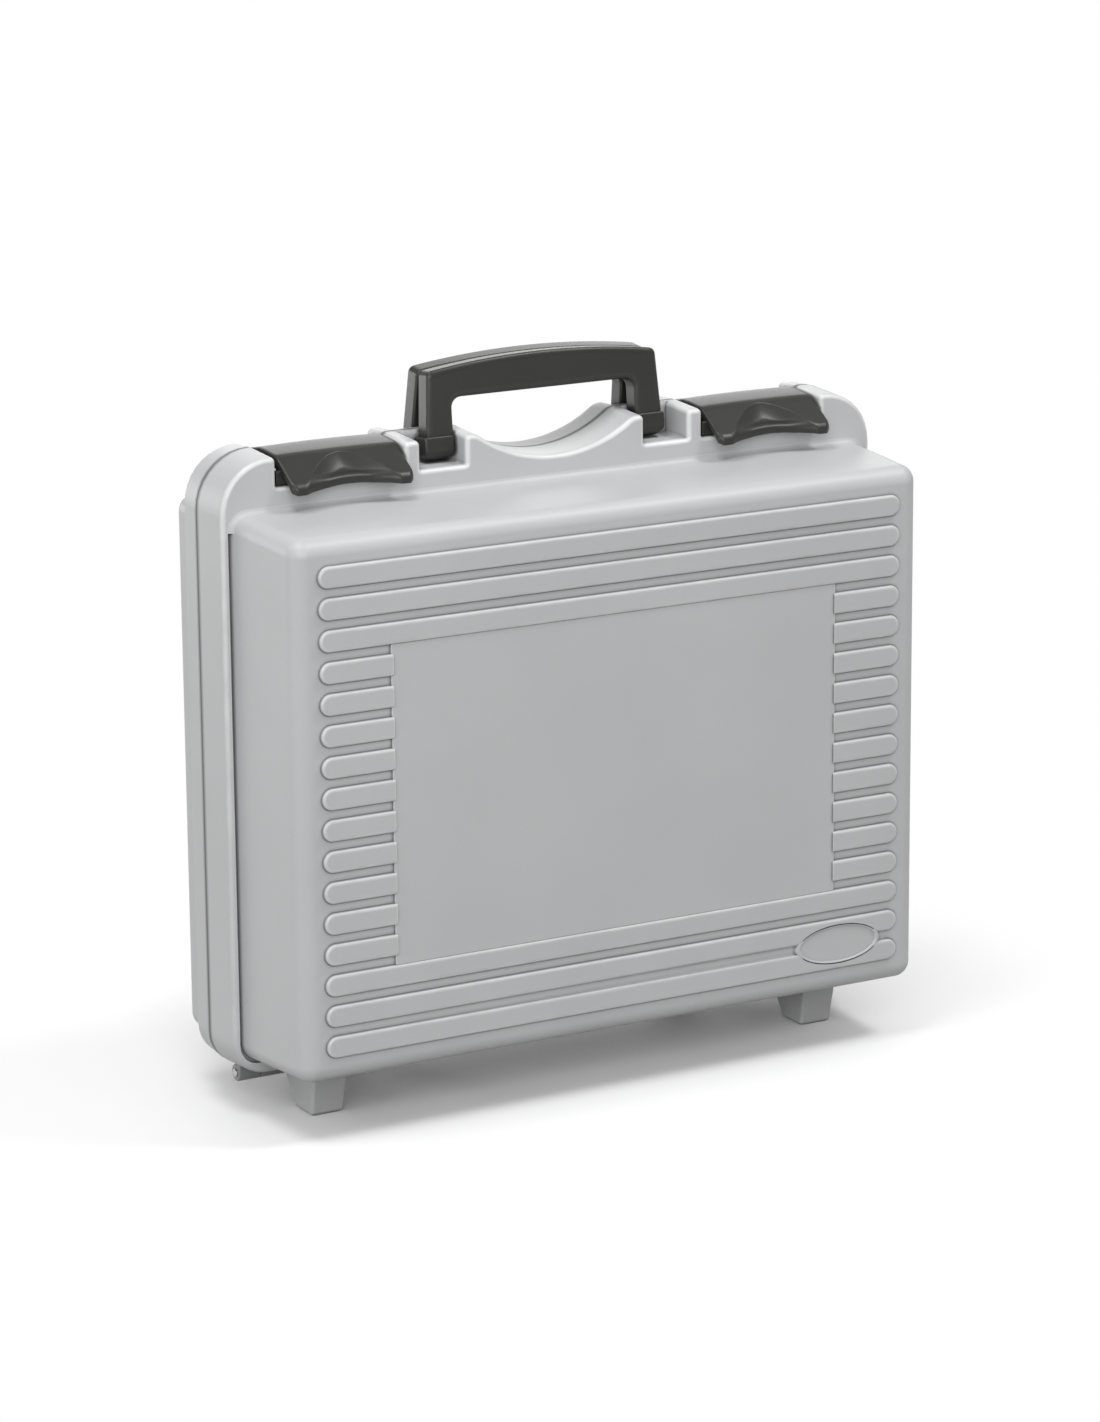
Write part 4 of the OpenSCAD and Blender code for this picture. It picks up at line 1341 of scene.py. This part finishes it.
@dataclass
class Latch(SubAssembly):
    """A latch over the ridge: crowned plate with a thumb hollow, barrel, webs and hook wall.

    BACK is the plate's top line ahead of the barrel: distance behind the parting plane, and height over the
    ridge. An edge size is about the plate's sides, a lip size about its front and a web size about its walls.
    """

    side: float
    width: float = 65.7
    plate_w: float = 62.5
    plate_shift: float = 1.15
    plate_t: float = 3.0
    flat: float = 17.0
    reach: float = 35.5
    drop: float = 13.6
    rise: float = 5.5
    shoulder: float = 1.8
    hook_y: float = 23.0
    hook_t: float = 2.8
    hook_foot: float = 298.9
    barrel_y: float = 7.0
    barrel_z: float = 306.0
    barrel_r: float = 5.0
    crown: float = 0.5
    hollow: float = 3.4
    hollow_run: float = 8.0
    hollow_power: float = 1.35
    lip_run: float = 5.5
    lip_fill: float = 0.55
    lip_t: float = 3.9
    lip_r: float = 2.6
    lip_drop: float = 1.9
    lip_corner: float = 2.2
    lip_straight: float = 7.0
    arch_half: float = 23.8
    arch_top: float = 1.6
    arch_power: float = 1.8
    web_t: float = 3.1
    edge_run: float = 1.4
    edge_drop: float = 0.45
    edge_thin: float = 0.3

    BACK: ClassVar[tuple[Flat, ...]] = (
        (2.6, -0.55), (0.0, -0.3), (-4.0, -0.45), (-8.0, -0.75), (-11.5, -1.05), (-14.2, -1.35),
        (-15.6, -1.6), (-16.8, -2.05))

    @property
    def middle(self) -> float:
        """X of the middle of the latch."""
        return self.side * (CASE.notch_in + CASE.notch_w / 2)

    @property
    def slope(self) -> float:
        """Slope of the plate's front part, in radians."""
        return math.atan2(self.drop - self.shoulder, self.reach - self.flat)

    @property
    def lip(self) -> float:
        """Distance down the slope from the shoulder to the corners of the lip."""
        return math.hypot(self.reach - self.flat, self.drop - self.shoulder)

    @property
    def over_hook(self) -> float:
        """Height of the plate's top line over the hook wall, from the top of the ridge."""
        return -self.shoulder - (self.hook_y - self.flat) * math.tan(self.slope)

    def _lip_cut(self, x: float) -> float:
        """How far the lip's edge draws back at a distance from the middle."""
        half = self.plate_w / 2
        chord = half - self.lip_straight
        arc_r = (chord ** 2 + self.rise ** 2) / (2 * self.rise)
        inner = min(abs(x), chord)
        corner = max(0.0, abs(x) - (half - self.lip_corner))
        return self.rise - (arc_r - math.sqrt(arc_r ** 2 - inner ** 2)) + corner

    def _arch(self, x: float) -> float:
        """Distance down the slope from the shoulder to the edge of the thumb hollow."""
        share = min(1.0, abs(x) / self.arch_half)
        return self.arch_top + (self.lip - self.arch_top) * share ** self.arch_power

    def _hollow_depth(self, x: float, down: float) -> float:
        """Depth of the thumb hollow.

        Args:
            x: Distance from the middle.
            down: Distance down the slope from the shoulder.

        Returns:
            The depth, 0 outside the arch that bounds the hollow.
        """
        share = min(1.0, abs(x) / self.arch_half)
        steep = (self.lip - self.arch_top) * self.arch_power / self.arch_half * share ** (self.arch_power - 1)
        inside = (down - self._arch(x)) / math.hypot(1.0, steep)
        wall = 1 - (1 - min(1.0, max(0.0, inside / self.hollow_run))) ** self.hollow_power
        to_lip = self.lip - self._lip_cut(x) - down
        up = min(1.0, max(0.0, 1 - to_lip / self.lip_run))
        return self.hollow * wall * (1 - self.lip_fill * up * up * (3 - 2 * up))

    def _path(self, length: float, edge: float) -> list[tuple[Vector, Vector, float]]:
        """Top line of the plate from its rear edge to its lip, before the lip's rounding.

        Args:
            length: Distance down the slope from the shoulder to the lip.
            edge: Distance down the slope where the thumb hollow begins, on which a point comes to lie.

        Returns:
            Points as distance behind the parting plane and height over the ridge, their normals, and their
            distance down the slope.
        """
        ahead = Vector((-math.cos(self.slope), -math.sin(self.slope)))
        shoulder = Vector((-self.flat, -self.shoulder))
        rear = ((self.barrel_y + 1.0, -2.3), (self.barrel_y - 1.5, -1.35))
        knots = [Vector(p) for p in rear + self.BACK]
        first, last = 1.4, length - self.lip_r
        bend = min(edge, last - 0.6)
        steps = [first + (bend - first) * k / 12 for k in range(13)]
        steps += [bend + (last - bend) * (k / 20) ** 1.2 for k in range(1, 21)]
        steps += [last + self.lip_r * math.sin(math.pi / 2 * k / 8) for k in range(1, 9)]
        downs = [0.0] * len(knots) + steps
        knots += [shoulder + ahead * down for down in steps]
        path = []
        for i, (p, down) in enumerate(zip(knots, downs)):
            run = (knots[min(i + 1, len(knots) - 1)] - knots[max(i - 1, 0)]).normalized()
            path.append((p, Vector((run.y, -run.x)), down))
        return path

    def _column(self, x: float) -> tuple[list[Corner], list[Corner]]:
        """Points of the plate's top and of its underside at a distance from its middle."""
        half, place = self.plate_w / 2, self.middle + self.plate_shift + x
        edge = max(0.0, 1 - (half - abs(x)) / self.edge_run)
        crown = self.crown * (x / half) ** 2
        length = self.lip - self._lip_cut(x)
        top, low = [], []
        for p, normal, down in self._path(length, self._arch(x)):
            bowl = self._hollow_depth(x, down) if down > 0 else 0.0
            turn = min(1.0, max(0.0, (down - length + self.lip_r) / self.lip_r))
            surface = p - normal * (bowl + crown)
            q = surface - normal * (self.edge_drop * edge ** 2)
            q.y -= self.lip_drop * (1 - math.sqrt(max(0.0, 1 - turn * turn)))
            under = -normal * (self.plate_t - self.edge_thin * edge)
            u = surface + under.lerp(Vector((0.3, -self.lip_t)), turn)
            for column, point in ((top, q), (low, u)):
                column.append((place, CASE.y_part + point.x, CASE.rim_z1 + point.y))
        return top, low

    def _plate(self, skin: Skin) -> None:
        """Plate as two sheets that follow its section, joined round the edge."""
        across, half = 120, self.plate_w / 2
        shares = [-1 + 2 * i / across for i in range(across + 1)]
        # The columns stand closer together towards the sides, where the lip turns its corners
        columns = [self._column(half * math.sin(t * math.pi / 2) * 0.35 + half * t * 0.65) for t in shares]
        sheets = []
        for rows in zip(*columns):
            sheet = [skin.ring(row) for row in rows]
            skin.loft(sheet, caps=(), closed=False)
            sheets.append(sheet)
        top, low = sheets
        for end in (0, -1):
            skin.bridge(top[end], low[end], closed=False)
        for end in (0, -1):
            skin.bridge([row[end] for row in top], [row[end] for row in low], closed=False)

    def _hook_wall(self, skin: Skin) -> None:
        """Wall under the plate that carries the hook, whose top follows the hollow."""
        half, steps = self.width / 2, 40
        down = (self.hook_y - self.flat) / math.cos(self.slope)
        crest = []
        for k in range(steps + 1):
            x = -half + 2 * half * k / steps
            over = x - self.plate_shift
            under = 1.9 if abs(over) < self.plate_w / 2 - 0.3 else 2.4
            crest.append((self.middle + x, CASE.rim_z1 + self.over_hook - under
                          - self._hollow_depth(over, down) / math.cos(self.slope)))
        foot = [(self.middle - half, self.hook_foot), (self.middle + half, self.hook_foot)]
        y0 = CASE.y_part - self.hook_y
        skin.prism(foot + crest[::-1], [Station(y0), Station(y0 + self.hook_t)], lambda u, z, y: (u, y, z))

    def _side_webs(self, skin: Skin) -> None:
        """Walls under both sides of the plate, from the hook to the barrel."""
        front, top, rear = -self.hook_y + 0.4, CASE.rim_z1, self.barrel_y
        section = [(front, self.hook_foot + 0.4), (front + 3.2, self.hook_foot + 2.4), (-15.0, top - 8.2),
                   (rear, top - 8.0), (rear, top - 3.4), (0.0, top - 1.6), (-12.0, top - 2.4),
                   (-16.6, top - 3.4), (front, top + self.over_hook - 1.7)]
        outer = self.plate_w / 2 - 0.5
        for side in (LEFT, RIGHT):
            ends = [Station(self.middle + self.plate_shift + side * reach)
                    for reach in (outer, outer - self.web_t)]
            skin.prism(section, ends, lambda v, z, u: (u, CASE.y_part + v, z))

    def _barrel(self, skin: Skin) -> None:
        """Barrel round the pin, with rounded ends."""
        start = (self.middle - self.width / 2, CASE.y_part + self.barrel_y, self.barrel_z)
        skin.turned(self.width, self.barrel_r, ((0.0, 0.5), (0.15, 0.2), (0.5, 0.0)), start, 64)

    def _hook(self, skin: Skin) -> None:
        """Floor of the latch under its plate, hook wall and side webs."""
        x, y, top, w = self.middle, CASE.y_part, CASE.rim_z1, self.width / 2
        plate, half = x + self.plate_shift, self.plate_w / 2 - 0.6
        front, rear = y - self.flat, y + self.barrel_y
        floor, filling, nose = (top - 8.0, top - 6.4), (top - 7.0, top - 4.4), (top - 11.2, top - 9.0)
        skin.block((x - w, front + 0.6, floor[0]), (x + w, rear, floor[1]))
        skin.block((plate - half, front + 0.5, filling[0]), (plate + half, rear - 1, filling[1]))
        skin.block((x - w, y - self.hook_y + 1.0, nose[0]), (x + w, front + 2.0, nose[1]))
        self._hook_wall(skin)
        self._side_webs(skin)

    def build(self) -> None:
        """Builds the plate, the barrel and the hook as three pieces on the same body."""
        name = "left" if self.side < 0 else "right"
        for fill, what, bevel, sharp in ((self._plate, "latch_plate_", 0.0, 60.0),
                                         (self._barrel, "latch_barrel_", 0.0, 38.0),
                                         (self._hook, "latch_hook_", 0.35, 38.0)):
            skin = Skin()
            fill(skin)
            self.own(skin.finish(what + name, bevel, sharp))


# ---------------------------------------------------------------- pins and rods

@dataclass
class SteelBar(SubAssembly):
    """A steel pin or rod along X, with chamfered ends."""

    name: str
    chamfer: float = 0.35
    slot: ClassVar[str] = "steel"

    def build(self) -> None:
        """Builds the bar in the place of its node."""
        lo, hi = (corner * 1000 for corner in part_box(self.node))
        end = ((0.0, self.chamfer), (self.chamfer * 0.4, self.chamfer * 0.35), (self.chamfer, 0.0))
        skin = Skin()
        skin.turned(hi.x - lo.x, (hi.z - lo.z) / 2, end, (lo.x, (hi.y + lo.y) / 2, (hi.z + lo.z) / 2), 40)
        self.own(skin.finish(self.name))


# ---------------------------------------------------------------- studio

@dataclass(frozen=True)
class PhotoCamera:
    """The camera at the photograph's viewing angle."""

    azimuth: float = -29.2063
    elevation: float = 14.2929
    roll: float = -0.465
    focal_px: float = 4929.16
    shift: Flat = (-0.1030, 0.0902)
    distance: float = 7.4294
    unit: float = 310.0
    origin: Corner = (0.0, -60.25, 157.0)
    image: tuple[int, int] = (1100, 1422)
    sensor: float = 36.0

    def place(self) -> None:
        """Adds the camera and makes it the scene's own."""
        a, e, r = (math.radians(angle) for angle in (self.azimuth, self.elevation, self.roll))
        back = Vector((math.sin(a) * math.cos(e), -math.cos(a) * math.cos(e), math.sin(e)))
        right = Vector((math.cos(a), math.sin(a), 0.0))
        up = back.cross(right)
        right, up = right * math.cos(r) + up * math.sin(r), up * math.cos(r) - right * math.sin(r)
        spot = right * self.shift[0] + up * self.shift[1] + back * self.distance
        spot = spot * self.unit + Vector(self.origin)
        data = bpy.data.cameras.new("photo_camera")
        data.sensor_width, data.sensor_fit = self.sensor, "AUTO"
        data.lens = self.focal_px * self.sensor / max(self.image)
        data.clip_start, data.clip_end = 0.1, 50.0
        camera = bpy.data.objects.new("photo_camera", data)
        turn = Matrix((right, up, back)).transposed()
        camera.matrix_world = Matrix.Translation(spot / 1000) @ turn.to_4x4()
        bpy.context.scene.collection.objects.link(camera)
        bpy.context.scene.camera = camera


class Lamp(NamedTuple):
    """A square soft lamp: its name, its place and the side of its square in metres, and its watts."""

    name: str
    spot: Corner
    size: float
    power: float


LAMPS = (
    Lamp("key_lamp", (-0.52, -0.17, 1.78), 0.6, 8.5),
    Lamp("edge_lamp", (0.78, -0.50, 1.65), 0.4, 9.0),
    Lamp("front_lamp", (-1.2, -2.1, 1.2), 1.5, 29.0),
    Lamp("side_lamp", (-2.5, -0.5, 0.45), 0.9, 8.5),
    Lamp("back_lamp", (-1.1, 1.9, 0.3), 0.8, 8.0),
    Lamp("rear_lamp", (1.0, 2.3, 1.0), 1.5, 14.0),
)


@dataclass
class Studio:
    """Pale floor, plain soft light and the camera."""

    floor_half: float = 6.0
    floor_bounce: Colour = (0.24, 0.24, 0.24)
    fade: Flat = (0.12, 0.48)
    surroundings: float = 0.43
    aim: Corner = (0.0, 0.0, 0.2)
    white: ClassVar[Colour] = (1.0, 1.0, 1.0)

    def floor(self) -> None:
        """White floor that keeps the case's shadow and fades into the white round it."""
        skin, reach = Skin(), self.floor_half * 1000
        skin.cap(skin.ring([(x, y, 0.0) for x, y in ellipse(0.0, 0.0, reach, reach, 48)]))
        floor = skin.finish("studio_floor")
        if floor.data.polygons[0].normal.z < 0:
            floor.data.flip_normals()
        mat = bpy.data.materials.new("white_floor")
        nodes = Nodes.of(mat)
        place = nodes.add("ShaderNodeTexCoord").outputs["Object"]
        fade = nodes.remap(nodes.vector_math("LENGTH", place), *self.fade, "SMOOTHSTEP")
        path = nodes.add("ShaderNodeLightPath").outputs
        seen = nodes.math("MAXIMUM", path["Is Glossy Ray"], path["Is Transmission Ray"])
        seen = nodes.math("MAXIMUM", path["Is Camera Ray"], seen)
        matt = nodes.out("ShaderNodeBsdfDiffuse", {"Color": nodes.blend(seen, self.floor_bounce, self.white)})
        white = nodes.out("ShaderNodeEmission", {"Color": (*self.white, 1), "Strength": 1.0})
        mix = nodes.out("ShaderNodeMixShader", {0: nodes.math("MULTIPLY", seen, fade), 1: matt, 2: white})
        nodes.add("ShaderNodeOutputMaterial", {"Surface": mix})
        floor.data.materials.append(mat)

    def world(self) -> None:
        """Even studio surroundings, plain white behind the case."""
        world = bpy.data.worlds.new("studio_world")
        nodes = Nodes.of(world)
        path = nodes.add("ShaderNodeLightPath").outputs
        seen = nodes.math("MAXIMUM", path["Is Camera Ray"], path["Is Transmission Ray"])
        around, white = (nodes.out("ShaderNodeBackground", {"Color": (*self.white, 1), "Strength": strength})
                         for strength in (self.surroundings, 1.0))
        mix = nodes.out("ShaderNodeMixShader", {0: seen, 1: around, 2: white})
        nodes.add("ShaderNodeOutputWorld", {"Surface": mix})
        bpy.context.scene.world = world

    def light(self, lamp: Lamp) -> None:
        """Hangs a lamp, which faces the case."""
        data = bpy.data.lights.new(lamp.name, "AREA")
        data.shape, data.size, data.energy = "SQUARE", lamp.size, lamp.power
        piece = bpy.data.objects.new(lamp.name, data)
        piece.location = lamp.spot
        piece.rotation_euler = (Vector(self.aim) - Vector(lamp.spot)).to_track_quat("-Z", "Y").to_euler()
        bpy.context.scene.collection.objects.link(piece)

    def build(self) -> None:
        """Builds the studio."""
        PhotoCamera().place()
        self.floor()
        self.world()
        for lamp in LAMPS:
            self.light(lamp)
        bpy.context.scene.view_settings.view_transform = "Standard"


# ---------------------------------------------------------------- assembly


def sub_assemblies(wardrobe: Wardrobe) -> list[SubAssembly]:
    """Every sub-assembly of the case."""
    trees = {"rib_rows": RibRows(), "copy_row": CopyRow()}
    return [
        ShellMoulding("front_shell", "front", wardrobe, Half.FRONT, depth=80.5, rim_depth=24.0,
                      foot=Foot(x=135.0, y=23.0, depth=17.5, back=12.0, front=6.5), **trees),
        ShellMoulding("rear_shell", "lid", wardrobe, Half.REAR, depth=40.0, rim_depth=16.0,
                      foot=Foot(x=92.0, y=24.0, depth=12.0, back=2.0, front=2.0), **trees),
        HandleHalf("front_handle", "handle_front", wardrobe, Half.FRONT),
        HandleHalf("rear_handle", "handle_rear", wardrobe, Half.REAR),
        Latch("latch_left", "latch_l", wardrobe, LEFT),
        Latch("latch_right", "latch_r", wardrobe, RIGHT),
        SteelBar("latch_pin_left", "lid", wardrobe, "left_latch_pin"),
        SteelBar("latch_pin_right", "lid", wardrobe, "right_latch_pin"),
        SteelBar("hinge_rod_left", "front", wardrobe, "left_hinge_rod"),
        SteelBar("hinge_rod_right", "front", wardrobe, "right_hinge_rod"),
    ]


def main() -> None:
    """Builds the case and the studio."""
    logging.basicConfig(level=logging.INFO, format="%(name)s %(message)s")
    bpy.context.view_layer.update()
    wardrobe = Wardrobe()
    Studio().build()
    for assembly in sub_assemblies(wardrobe):
        assembly.build()
    bpy.context.view_layer.update()


if __name__ == "__main__":
    main()
